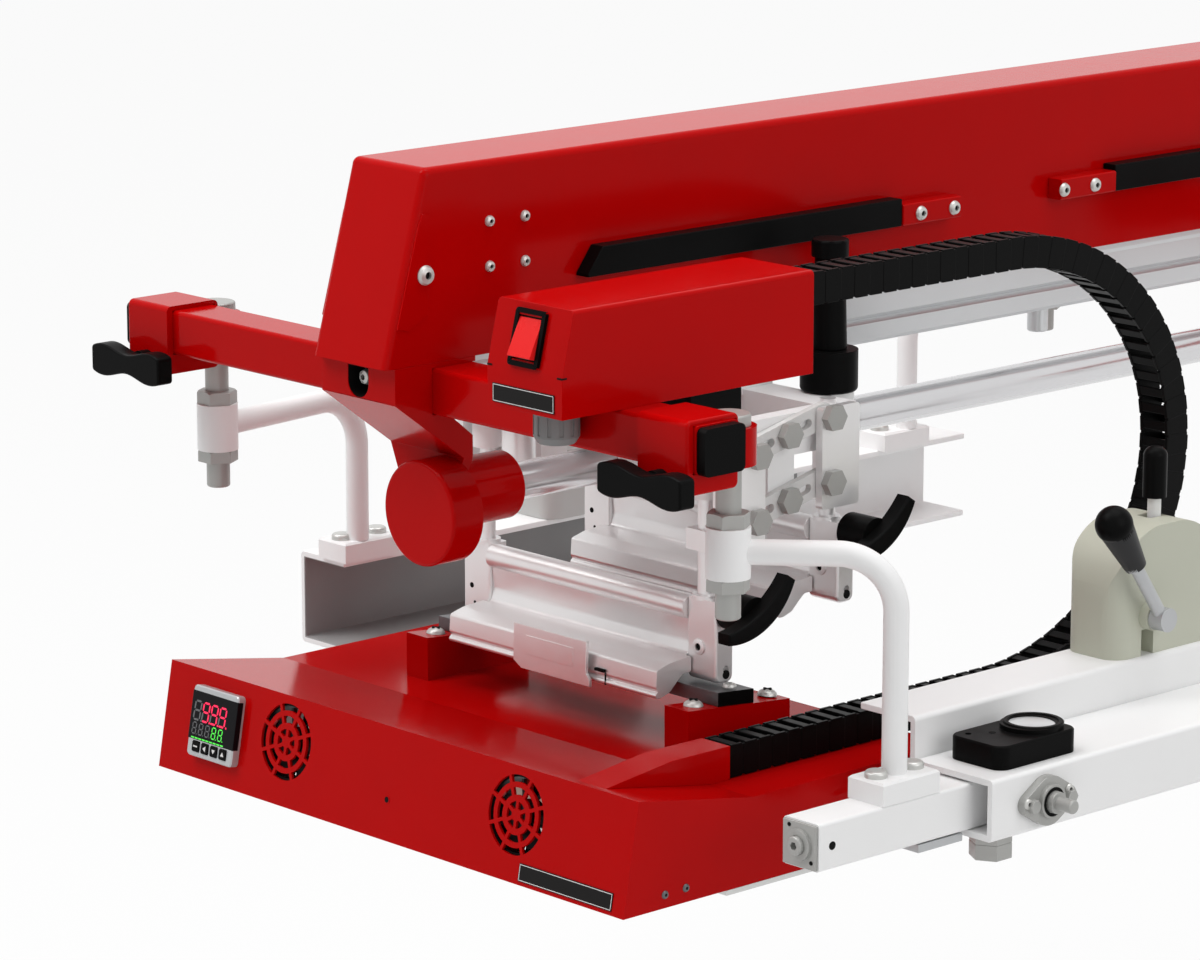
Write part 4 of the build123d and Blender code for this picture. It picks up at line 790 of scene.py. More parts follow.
@dataclass
class NodeDress:
    """Finishes for the CAD nodes, and which of them get rounded copies.

    Attributes:
        sheet: Rounding of folded sheet and tube, in millimetres.
        small: Rounding of machined pieces, in millimetres.
        painted_shade_end: How far to the rear the left channel's inside is painted dark grey as
            shade, in millimetres.
    """

    sheet: float = 0.8
    small: float = 0.4
    painted_shade_end: float = 690.0

    WELD_M = 0.000002
    CUT_M = 0.000001
    FLAT_ANGLE = math.radians(1.0)

    def choices(self) -> dict[str, tuple[Finish, float]]:
        """Choose each node's finish and rounding.

        Returns:
            The finish and the rounding in millimetres, by node.
        """
        groups = (
            (RED_PAINT, self.sheet, "beam_housing strip_blocks front_hanger rear_hanger"),
            (RED_PAINT, self.sheet, "clamp_sleeves"),
            (RED_PAINT, self.small, "end_disc cross_bars control_box chain_ramp"),
            (RED_PAINT, 0, "heater_box"),
            (WHITE_PAINT, self.sheet, "left_channel right_channel outer_tube carriage_saddle"),
            (WHITE_PAINT, self.small, "front_left_arm front_right_arm rear_arms inner_tube"),
            (PLATE_PAINT, self.small, "upper_links lower_links"),
            (BEIGE_COVER, self.sheet, "right_lever_housing"),
            (GREY_PAINT, self.sheet, "left_housing"),
            (BLACK_PLASTIC, self.sheet, "side_strips bar_end_plugs box_mount"),
            (BLACK_PLASTIC, self.small, "position_indicator upright_lever left_wing_knob"),
            (BLACK_PLASTIC, self.small, "right_wing_knob regulator_column regulator_knob"),
            (BLACK_PLASTIC, self.small, "front_clamp_handle rear_clamp_handle"),
            (BLACK_PLASTIC, 0, "fan_frames controller_key_1 controller_key_2"),
            (BLACK_PLASTIC, 0, "controller_key_3 controller_key_4"),
            (CHAIN_PLASTIC, 0, "cable_chain"),
            (GREY_PLASTIC, self.small, "cable_gland"),
            (DARK_GREY_PLASTIC, 0, "left_fan_rotor right_fan_rotor"),
            (SILVER_PLASTIC, 0.2, "front_lever"),
            (SILVER_PLASTIC, 0, "temperature_controller"),
            (RED_PLASTIC, self.small, "rocker_switch"),
            (RAIL_ALUMINIUM, self.small, "linear_rail"),
            (EXTRUDED_ALUMINIUM, self.small, "air_cylinders front_lifters rear_lifters"),
            (EXTRUDED_ALUMINIUM, 0, "front_holder_profile rear_holder_profile"),
            (PLATEN_ALUMINIUM, self.small, "heating_platen"),
            (CHROME, self.small, "guide_shaft"),
            (STEEL, self.small, "threaded_rods lock_nuts spindle_bearings"),
            (STEEL, self.small, "end_spindle side_spindle"),
            (DARK_STEEL, self.small, "clamp_bar"),
            (BOARD, 0, "insulation_board"),
        )
        return {node: (finish, width) for finish, width, nodes in groups for node in nodes.split()}

    def zones(self) -> dict[str, tuple[Zone, ...]]:
        """Find the regions of nodes that differ from the rest of the node.

        Returns:
            The zones, by node.
        """
        low_heads = between(SCREW_STEEL, 86.55, 91.8)
        high_heads = between(SCREW_STEEL, 119.05, 124.3)
        pin_heads = beyond(STEEL, 128.02)
        edge, web, end = (-311.2, -309.8, -267.3), (41.4, 42.6, 99.4, 100.6), self.painted_shade_end
        return {
            # Faces in and round the front hanger's open slot take near-black painted shade.
            "front_hanger": (Zone(HOLE_PAINTED_SHADE, (-10.3, -12.4, 290.0), (10.3, 4.0, 315.0)),),
            "front_right_arm": low_heads, "front_left_arm": high_heads, "rear_arms": high_heads,
            "front_lifters": pin_heads, "rear_lifters": pin_heads,
            "carriage_saddle": beyond(STEEL, 121.75),
            # The left channel's inside faces in its front part take the dark grey of painted shade.
            "left_channel": (
                Zone(CHANNEL_PAINTED_SHADE, (edge[0], -FAR, web[1]), (edge[1], end, web[2])),
                Zone(CHANNEL_PAINTED_SHADE, (edge[0], -FAR, web[2]), (edge[2], end, web[3])),
                Zone(CHANNEL_PAINTED_SHADE, (edge[0], -FAR, web[0]), (edge[2], end, web[1])),
            ),
            "front_lever": (
                *between(DARK_GREY_PLASTIC, 170.0, 195.0), *between(BLACK_PLASTIC, 193.0, FAR),
            ),
            "upright_lever": between(WHITE_PAINT, 0.0, 201.0),
            "clamp_bar": beyond(BLACK_PLASTIC, 137.5),
        }

    def soften(self, node: str, width: float, zones: tuple[Zone, ...]) -> Shape:
        """Copy a CAD node with smooth faces, rounded edges and its zones' finishes.

        Args:
            node: The CAD node.
            width: Width of the rounding in millimetres.
            zones: Regions with a finish of their own, numbered from 1.

        Returns:
            The copy in metres.
        """
        shape = bmesh.new()
        shape.from_mesh(frame["nodes"][node].data)
        bmesh.ops.remove_doubles(shape, verts=shape.verts, dist=self.WELD_M)
        bmesh.ops.dissolve_limit(
            shape, angle_limit=self.FLAT_ANGLE, verts=shape.verts, edges=shape.edges,
            delimit={"NORMAL"},
        )
        for face in shape.faces:
            face.smooth = True
        sharp = [
            edge for edge in shape.edges
            if len(edge.link_faces) == 2 and edge.calc_face_angle(0) > ROUNDED_ANGLE
        ]
        bevel(shape, sharp, width / 1000)
        # The copy is cut where the painted shade inside the left channel ends.
        if node == "left_channel":
            bmesh.ops.bisect_plane(
                shape, geom=[*shape.verts, *shape.edges, *shape.faces], dist=self.CUT_M,
                plane_co=MOVE_TO_FLANGE @ Vector((0, self.painted_shade_end, 0)), plane_no=(0, 1, 0),
            )
        back = MOVE_TO_FLANGE.inverted()
        for face in shape.faces:
            middle = back @ face.calc_center_median()
            for number, zone in enumerate(zones, 1):
                if zone.holds(middle):
                    face.material_index = number
        return shape

    def build(self) -> None:
        """Give every node its finish, and stand copies in for those with a rounding."""
        record = frame["record"]
        members = record["behaviour"]["bodies"]
        bodies = {node: body for body, nodes in members.items() for node in nodes}
        choices, regions = self.choices(), self.zones()
        for part in record["subparts"]:
            node = part["node"]
            finish, width = choices[node]
            cad = frame["nodes"][node]
            cad.data.materials.clear()
            cad.data.materials.append(finish.material())
            if width:
                zones = regions.get(node, ())
                finishes = (finish, *(zone.finish for zone in zones))
                copy = self.soften(node, width, zones)
                make_piece(
                    node + "_dressed", copy, bodies[node], finishes, part["material_slot"], (node,),
                )


def leaning_plane(place: Point, run: float, rise: float) -> Matrix:
    """A plane on a face that leans to the rear.

    Args:
        place: A point on the face.
        run: How far the face runs to the rear.
        rise: Over which height.

    Returns:
        Its frame: local X to the right, Y up the face, Z out to the front.
    """
    lean = math.atan2(run, rise)
    return Matrix.Translation(place) @ Matrix.Rotation(math.pi / 2 - lean, 4, "X")


def heater_plane(x: float, z: float) -> Matrix:
    """The plane of the heater's leaning front face at a height."""
    run, rise = 13.0, 72.5
    return leaning_plane((x, run * z / rise, z), run, rise)


@dataclass
class BeamTrim(Trim):
    """Screws and folded tabs of the beam's cover, and screws of the blocks and the hanger.

    Attributes:
        half_width: Half the beam's width.
        small_radius: Radius of the small button screws.
        big_radius: Radius of the big button screw.
    """

    half_width: float = 36.0
    small_radius: float = 3.7
    big_radius: float = 6.4

    TAB = [(-11.5, 340.8), (-2.1, 339.1), (14.3, 347.5), (15.6, 410.7), (10.2, 412.0), (7.0, 406.0)]

    @piece("cover_screws", "frame", (SCREW_STEEL, HOLE_PAINTED_SHADE), "steel")
    def cover_screws(self, bench: Bench) -> None:
        """The button screws of the cover.

        Args:
            bench: The bench to fill.
        """
        for side in (-1, 1):
            axis, x = (side, 0, 0), side * self.half_width
            for y in (66.0, 96.0):
                for z in (372.0, 401.0):
                    bench.socket_screw((x, y, z), axis, self.small_radius, 2.6)
            bench.socket_screw((x + side * 1.0, 11.5, 373.0), axis, self.big_radius, 3.6)

    @piece("cover_tabs", "frame", (RED_PAINT,), "red_paint")
    def cover_tabs(self, bench: Bench) -> None:
        """The front plate's folded tabs on both sides of the cover."""
        for x in (-self.half_width - 1.0, self.half_width - 0.3):
            bench.plate(self.TAB, 1.3, Matrix.Translation((x, 0, 0)) @ SECTION_PLANE, 0.35)

    @piece("block_screws", "frame", (SCREW_STEEL, HOLE_PAINTED_SHADE), "steel")
    def block_screws(self, bench: Bench) -> None:
        """The screws of the two blocks on the strip."""
        for y in (447.0, 480.0, 592.5, 625.0):
            bench.socket_screw((49.0, y, 364.4), (1, 0, 0), 5.0, 3.0)

    @piece("hanger_screw", "frame", (SCREW_STEEL, HOLE_PAINTED_SHADE), "steel")
    def hanger_screw(self, bench: Bench) -> None:
        """The screw in the front hanger's open slot, on its stem.

        Args:
            bench: The bench to fill.
        """
        seat = (-1.0, -4.0, 305.0)
        bench.bar((-1.0, 3.0, 305.0), seat, 3.2, 0.2, 24)
        bench.socket_screw(seat, (0, -1, 0), 5.2, 4.6)


@dataclass
class HeaterTrim(Trim):
    """Screws and the bare badge of the heater box, and the small hole in its front.

    Attributes:
        half_width: Half the box's width.
        pedestal_x: Where the pedestals' screws stand.
        pedestal_z: Height of the pedestals' front edge.
        tilt: How steeply their tops fall to the rear.
    """

    half_width: float = 231.8
    pedestal_x: float = 127.0
    pedestal_z: float = 86.5
    tilt: float = math.atan2(7.0, 92.0)

    def cross_screw(
        self, bench: Bench, seat: Point, axis: Point, radius: float, height: float,
    ) -> None:
        """Add a domed screw head with a cross recess drawn as a cross of painted shade.

        Args:
            bench: The bench, with the head's finish first and the recess's painted shade second.
            seat: The middle of its seat.
            axis: The way that it faces.
            radius: Its radius.
            height: Its height.
        """
        dome = [(radius * math.cos(a), height * math.sin(a)) for a in (0.0, 0.35, 0.7, 1.05, 1.35)]
        bench.turned([*dome, (0.0001, height)], seat, axis, 28)
        # The cross recess: two flat bars of painted shade set into the dome.
        long, short = radius * 0.5, radius * 0.11
        for x, y in ((long, short), (short, long)):
            bench.block((-x, -y, height * 0.7), (x, y, height * 1.03), 0, 1, aim(seat, axis))

    @piece("pedestal_screws", "front_holder", (SCREW_STEEL, HOLE_PAINTED_SHADE), "steel")
    def pedestal_screws(self, bench: Bench) -> None:
        """The screws on both pedestals.

        Args:
            bench: The bench to fill.
        """
        axis = (0, math.sin(self.tilt), math.cos(self.tilt))
        for side in (-1, 1):
            for y in (159.0, 226.0):
                z = self.pedestal_z - (y - 143.0) * math.tan(self.tilt)
                self.cross_screw(bench, (side * self.pedestal_x, y, z), axis, 6.6, 4.2)

    @piece("heater_side_screws", "front_holder", (DARK_STEEL, HOLE_PAINTED_SHADE), "steel")
    def side_screws(self, bench: Bench) -> None:
        """The two small screws low on the right side."""
        for y, z in ((35.0, 8.7), (52.8, 9.3)):
            bench.socket_screw((self.half_width - 0.1, y, z), (1, 0, 0), 2.7, 1.4)

    @piece("heater_front_hole", "front_holder", (RED_PAINT, HOLE_PAINTED_SHADE), "red_paint")
    def front_hole(self, bench: Bench) -> None:
        """The small hole in the front, with its rim, and a disc of painted shade for its inside.

        Args:
            bench: The bench to fill.
        """
        place = heater_plane(3.0, 26.0)
        rim = [(2.9, 0.0), (3.0, 0.25), (2.1, 0.35), (1.9, 0.1)]
        bench.turned(rim, place.translation, place.col[2].xyz, 28)
        # The hole's inside is a near-black disc of painted shade.
        low, high = (place @ Vector((0, 0, z)) for z in (0.05, 0.18))
        bench.bar(low, high, 2.0, 0, 24, 1)

    @piece("heater_badge", "front_holder", (BADGE_BLACK, BADGE_LINE), "black_plastic")
    def badge(self, bench: Bench) -> None:
        """The bare badge at the right of the front."""
        bench.badge(heater_plane(177.7, 8.25), 86.0, 11.5)


@dataclass
class ControllerFace(Trim):
    """The temperature controller's dark window with its digits and key marks.

    Attributes:
        x: The middle of the controller.
        z: Its height on the front.
        proud: How far its bezel stands out.
        window: Lower and upper edge of the window, from the middle.
        window_half: Half the window's width, which wraps round the bezel.
        print_z: How far the segments stand out.
    """

    x: float = -173.3
    z: float = 39.0
    proud: float = 6.0
    window: tuple[float, float] = (-12.6, 20.3)
    window_half: float = 24.12
    print_z: float = 0.24

    LIT = {"8": "abcdefg", "9": "abcdfg", "": ""}
    KEY_MARKS = (
        [(-2.0, -0.5), (2.0, -0.5), (2.0, 0.5), (-2.0, 0.5)],
        [(1.2, -2.0), (1.2, 2.0), (-1.6, 0.0)],
        [(-1.8, 1.3), (1.8, 1.3), (0.0, -1.6)],
        [(-1.8, -1.3), (1.8, -1.3), (0.0, 1.6)],
    )

    def place(self, x: float = 0, y: float = 0, z: float = 0) -> Matrix:
        """A frame on the bezel's front, at an offset from its middle."""
        return heater_plane(self.x, self.z) @ Matrix.Translation((x, y, self.proud + z))

    def digit(
        self, bench: Bench, middle: tuple[float, float], height: float, value: str, lit: int,
    ) -> None:
        """Add one seven-segment digit with its dot.

        Args:
            bench: The bench, with the finish of unlit segments third.
            middle: Its middle on the window.
            height: Its height.
            value: The figure that it shows, or nothing.
            lit: The number of the lit finish.
        """
        half, wide, line = height / 2, height * 0.25, height * 0.105
        marks = {
            "a": (0, half, 1), "g": (0, 0, 1), "d": (0, -half, 1),
            "f": (-wide, half / 2, 0), "b": (wide, half / 2, 0),
            "e": (-wide, -half / 2, 0), "c": (wide, -half / 2, 0),
        }
        unlit, tip, thin = 2, line / 2, 0.06
        slant = Matrix.Identity(4)
        slant[0][1] = 0.08
        base = self.place(*middle, self.print_z) @ slant
        for name, (x, y, level) in marks.items():
            long = (wide if level else half / 2) - line * 0.35
            outline = [
                (-long, 0), (-long + tip, tip), (long - tip, tip),
                (long, 0), (long - tip, -tip), (-long + tip, -tip),
            ]
            turn = Matrix.Rotation(0 if level else math.pi / 2, 4, "Z")
            finish = lit if name in self.LIT[value] else unlit
            bench.plate(outline, thin, base @ Matrix.Translation((x, y, 0)) @ turn, 0, finish)
        low, high = (base @ Vector((wide * 1.65, -half, z)) for z in (0, thin))
        bench.bar(low, high, line * 0.55, 0, 10, lit if value else unlit)

    @piece("controller_window", "front_holder", (WINDOW_BLACK,), "black_plastic")
    def dark_window(self, bench: Bench) -> None:
        """The dark window, which wraps round both sides of the bezel.

        Args:
            bench: The bench to fill.
        """
        low, high = self.window
        half = self.window_half
        bench.block((-half, low, -4.6), (half, high, 0.22), 0.5, 0, self.place())

    @piece("controller_digits", "front_holder", (RED_GLOW, GREEN_GLOW, UNLIT), "black_plastic")
    def digits(self, bench: Bench) -> None:
        """Both rows of digits and the dashes under them.

        Args:
            bench: The bench to fill.
        """
        for index, value in enumerate(("", "9", "9", "9")):
            self.digit(bench, (-17.0 + 8.9 * index, 7.2), 12.6, value, 0)
        for index, value in enumerate(("", "", "", "8", "8")):
            self.digit(bench, (-18.4 + 6.9 * index, -5.0), 7.6, value, 1)
        for index in range(9):
            x = -20.6 + 3.9 * index
            bench.block((x, -11.9, self.print_z), (x + 3.1, -11.0, 0.32), 0, 1, self.place())

    def build(self) -> None:
        """Make the window, the digits and a plain mark on each key."""
        super().build()
        for number, outline in enumerate(self.KEY_MARKS, 1):
            bench = Bench()
            bench.plate(outline, 0.06, self.place((number - 2.5) * 9.6, -17.0, 0.8), 0)
            bench.finish(f"key_mark_{number}", f"key_{number}", (BADGE_LINE,), "black_plastic")


@dataclass
class BoxTrim(Trim):
    """The control box's rocker frame, bare badge and fold marks.

    Attributes:
        front: Where the apron's front lies.
        knee: Height of the fold over the apron.
        run: How far the front leans back over its height.
        rise: The leaning part's height.
        switch_x: The middle of the rocker.
        switch_z: The rocker's height.
    """

    front: float = -29.2
    knee: float = 338.0
    run: float = 9.7
    rise: float = 40.0
    switch_x: float = 175.0
    switch_z: float = 357.2

    @piece("rocker_frame", "frame", (BLACK_PLASTIC,), "black_plastic")
    def rocker_frame(self, bench: Bench) -> None:
        """The black frame round the rocker and the plate in it.

        Args:
            bench: The bench to fill.
        """
        width, height, corner, border, depth = 26.8, 35.4, 2.4, 3.2, 2.6
        y = self.front + self.run * (self.switch_z - self.knee) / self.rise
        place = leaning_plane((self.switch_x, y, self.switch_z), self.run, self.rise)
        shape = bmesh.new()
        size = Matrix.Diagonal((width, height, 1, 1))
        bmesh.ops.create_grid(shape, x_segments=1, y_segments=1, size=0.5, matrix=size)
        bevel(shape, list(shape.verts), corner, 4, "VERTICES")
        rim = set(bmesh.ops.inset_region(
            shape, faces=shape.faces, thickness=border, use_even_offset=True, use_boundary=True,
        )["faces"])
        inner = [face for face in shape.faces if face not in rim]
        bmesh.ops.delete(shape, geom=inner, context="FACES")
        thicken(shape, depth)
        front = [edge for edge in shape.edges if all(v.co.z > depth - 0.1 for v in edge.verts)]
        bevel(shape, front, 0.5)
        bench.take(shape, place)
        bench.block((-10.6, -14.9, 0), (10.6, 14.9, 0.35), 0.1, 0, place)

    @piece("box_badge", "frame", (BADGE_BLACK, BADGE_LINE), "black_plastic")
    def badge(self, bench: Bench) -> None:
        """The bare badge on the apron."""
        bench.badge(leaning_plane((174.8, self.front, 321.2), 0.0, 1.0), 55.6, 11.6)

    @piece("box_relief_cuts", "frame", (HOLE_PAINTED_SHADE,), "black_plastic")
    def fold_marks(self, bench: Bench) -> None:
        """The relief cuts at both ends of the fold, laid as near-black blocks of painted shade.

        Args:
            bench: The bench to fill.
        """
        low, high = self.knee - 0.9, self.knee + 0.3
        # Each cut is a thin block of painted shade.
        for x in (141.8, 204.6):
            bench.block((x, self.front - 0.15, low), (x + 4.6, self.front + 4.0, high), 0.1)
        bench.block((209.0, self.front + 0.4, low), (209.1, self.front + 4.2, high), 0)


@dataclass
class RegulatorTrim(Trim):
    """The regulator's scalloped adjusting knob.

    Attributes:
        place: The middle of the knob's foot.
        radius: Its radius over the lobes.
        height: Its height.
        lobes: How many lobes it has.
        hollow: How deep the hollows between the lobes are.
    """

    place: Point = (80.0, 328.0, 357.6)
    radius: float = 12.4
    height: float = 7.2
    lobes: int = 9
    hollow: float = 1.3

    @piece("regulator_crown", "carriage", (BLACK_PLASTIC,), "black_plastic")
    def crown(self, bench: Bench) -> None:
        """The knob's crown.

        Args:
            bench: The bench to fill.
        """
        outline, steps = [], self.lobes * 10
        for angle in (math.tau * step / steps for step in range(steps)):
            reach = self.radius - self.hollow * (0.5 - 0.5 * math.cos(self.lobes * angle)) ** 2
            outline.append((reach * math.cos(angle), reach * math.sin(angle)))
        bench.plate(outline, self.height, Matrix.Translation(self.place), 0.9)


@dataclass
class HolderTrim(Trim):
    """The holders' extruded sections, the bare plate on the front nose, marks and screws.

    Attributes:
        rear_step: How far behind the front holder the rear one hangs.
        rear_rise: How much higher it hangs.
    """

    rear_step: float = 111.0
    rear_rise: float = 35.0

    WEB = [
        (1.5, 43.0), (6.5, 43.0), (7.5, 24.0), (10.0, 14.0), (10.0, 5.0), (-6.0, 5.0),
        (-6.0, 14.4), (1.0, 16.0), (3.0, 24.0),
    ]
    NOSE = [
        (-1.0, 15.6), (-20.0, 14.0), (-31.5, 11.0), (-32.4, -1.5), (-30.2, -3.4), (-33.0, -5.0),
        (-32.2, -8.0), (-28.0, -8.0), (-20.0, -5.5), (-13.0, 1.0), (-8.0, 5.0), (-1.0, 5.0),
    ]
    PLATE = [
        (-31.0, -12.5), (-31.0, 13.0), (40.5, 13.0), (40.5, -8.5), (44.0, -12.5), (44.0, -17.0),
        (-23.0, -17.0),
    ]
    BOSS = [(5.6, 0.0), (5.4, 0.9), (3.4, 1.3), (2.5, 1.3), (2.3, 0.2)]

    def section(self, holder: str, step: float, rise: float) -> None:
        """Make one holder's section: the web with its round bead, and the longer nose.

        Args:
            holder: The body that it rides on.
            step: How far behind the front holder it hangs.
            rise: How much higher it hangs.
        """
        bench = Bench()
        web, nose = 97.0, 102.0
        for outline, half, corner in ((self.WEB, web, 1.6), (self.NOSE, nose, 2.6)):
            place = Matrix.Translation((-half, 182.0 + step, 94.0 + rise)) @ SECTION_PLANE
            bench.plate(outline, 2 * half, place, 0.5, 0, corner)
        bead = (186.0 + step, 140.8 + rise)
        bench.bar((-web, *bead), (web, *bead), 8.2, 0.5, 48)
        name, stands_for = holder + "_section", (holder + "_profile",)
        bench.finish(name, holder, (EXTRUDED_ALUMINIUM,), "bright_aluminium", stands_for)

    @piece("nose_plate", "front_holder", (EXTRUDED_ALUMINIUM,), "bright_aluminium")
    def nose_plate(self, bench: Bench) -> None:
        """The bare plate and its step.

        Args:
            bench: The bench to fill.
        """
        place = leaning_plane((0, 146.9, 100.6), 0.6, 25.0)
        bench.plate(self.PLATE, 2.4, place, 0.5)
        bench.block((-18.0, -6.5, 2.3), (28.0, 6.5, 2.75), 0.4, 0, place)

    @piece("nose_notch", "front_holder", (HOLE_PAINTED_SHADE,), "bright_aluminium")
    def nose_notch(self, bench: Bench) -> None:
        """The seam beside the plate, laid as thin blocks of painted shade."""
        # The seam's gap is drawn as painted shade.
        bench.block((44.6, 147.8, 94.6), (54.0, 149.9, 96.6), 0.2)
        bench.block((53.7, 148.9, 86.2), (54.0, 150.2, 94.8), 0)

    @piece("clamp_bar_screws", "front_holder", (SCREW_STEEL, HOLE_PAINTED_SHADE), "steel")
    def bar_screws(self, bench: Bench) -> None:
        """The screws on the clamp bar's ends."""
        for x in (-131.5, 131.5):
            bench.socket_screw((x, 187.0, 93.4), (0, 0, 1), 4.8, 2.8)

    def bracket_marks(self, name: str, body: str, step: float, rise: float) -> None:
        """Make the holes, as discs of painted shade, and the boss of one holder's brackets.

        Args:
            name: The piece's name.
            body: The body that it rides on.
            step: How far behind the front holder it hangs.
            rise: How much higher it hangs.
        """
        bench = Bench()
        # Finish 1 is the painted shade that stands for the holes' insides.
        hole = 1
        for x, z, radius in ((-115.5, 117.4, 1.9), (-112.5, 105.9, 1.2)):
            low, high = ((x, y + step, z + rise) for y in (181.85, 182.4))
            bench.bar(low, high, radius, 0, 20, hole)
        seat, low, high = ((108.3, y + step, 116.8 + rise) for y in (182.0, 181.6, 182.3))
        bench.turned(self.BOSS, seat, (0, -1, 0), 28)
        bench.bar(low, high, 2.4, 0, 20, hole)
        for side in (-1, 1):
            inner, outer = ((side * x, 191.2 + step, 99.4 + rise) for x in (123.3, 124.2))
            bench.bar(inner, outer, 3.0, 0, 24, hole)
        bench.finish(name, body, (EXTRUDED_ALUMINIUM, HOLE_PAINTED_SHADE), "bright_aluminium")

    def build(self) -> None:
        """Make all of the holders' trim."""
        super().build()
        for end, offset in (("front", (0, 0)), ("rear", (self.rear_step, self.rear_rise))):
            self.section(end + "_holder", *offset)
            self.bracket_marks(end + "_bracket_marks", end + "_holder", *offset)


@dataclass
class TubeTrim(Trim):
    """Screws, holes and marks of the telescoping tube, its bearings and the indicator.

    Attributes:
        tube_x: The tube's middle.
        tube_z: Its height.
        side_x: The outer tube's right face.
        dial_place: The middle of the indicator's dial.
    """

    tube_x: float = 326.0
    tube_z: float = 57.0
    side_x: float = 359.0
    dial_place: Point = (327.0, 263.5, 93.0)

    RING = [(19.4, -0.4), (19.4, 3.3), (18.6, 3.9), (16.4, 3.9), (15.8, 3.2), (15.6, 2.2)]
    GAP = [(7.2, 0.0), (9.4, 0.0), (9.4, 0.12), (7.2, 0.12), (7.2, 0.0)]

    @piece("tube_holes", "frame", (HOLE_PAINTED_SHADE,), "steel")
    def insert_marks(self, bench: Bench) -> None:
        """The end insert's screws and the hole in the tube's side, all as dark discs of painted
        shade.

        Args:
            bench: The bench to fill.
        """
        # Each hole is a thin disc of painted shade.
        for x, z in ((316.6, 68.2), (335.4, 47.6)):
            bench.bar((x, 58.0, z), (x, 57.6, z), 1.3, 0, 16)
        bench.bar((339.8, 71.4, self.tube_z), (340.15, 71.4, self.tube_z), 2.7, 0, 24)

    @piece("tube_strap", "frame", (SILVER_PLASTIC, STEEL), "steel")
    def strap(self, bench: Bench) -> None:
        """The flat strap under the tubes, and the clamp bolt with its lock nut.

        Args:
            bench: The bench to fill.
        """
        bench.block((312.0, 147.4, 36.0), (339.4, 187.0, 41.4), 0.6)
        for z, height in ((37.6, 12.6), (25.2, 10.4)):
            bench.hex_head((self.tube_x, 227.0, z), (0, 0, -1), 24.0, height, 1)

    @piece("bearing_screws", "frame", (SCREW_STEEL, HOLE_PAINTED_SHADE), "steel")
    def bearing_screws(self, bench: Bench) -> None:
        """The side bearing's two screws and the gap round its spindle, as a thin ring of painted
        shade.

        Args:
            bench: The bench to fill.
        """
        for y, z in ((218.0, 59.0), (256.0, 61.5)):
            bench.socket_screw((self.side_x + 6.0, y, z), (1, 0, 0), 3.4, 1.8)
        # The gap round the spindle is a ring of painted shade.
        bench.turned(self.GAP, (self.side_x + 8.99, 239.0, self.tube_z), (1, 0, 0), 40, 1)

    @piece("indicator_dial", "frame", (BLACK_PLASTIC, DIAL_GLASS, HOLE_PAINTED_SHADE), "black_plastic")
    def dial(self, bench: Bench) -> None:
        """The indicator's pale window with its dark ring, and the small hole as a disc of painted
        shade.

        Args:
            bench: The bench to fill.
        """
        bench.turned(self.RING, self.dial_place, (0, 0, 1), 64)
        glass = [(15.7, 2.2), (8.0, 2.5), (0.0001, 2.6)]
        bench.turned(glass, self.dial_place, (0, 0, 1), 64, 1)
        # The small hole is a disc of painted shade.
        bench.bar((320.4, 233.0, 92.8), (320.4, 233.0, 93.15), 2.4, 0, 20, 2)


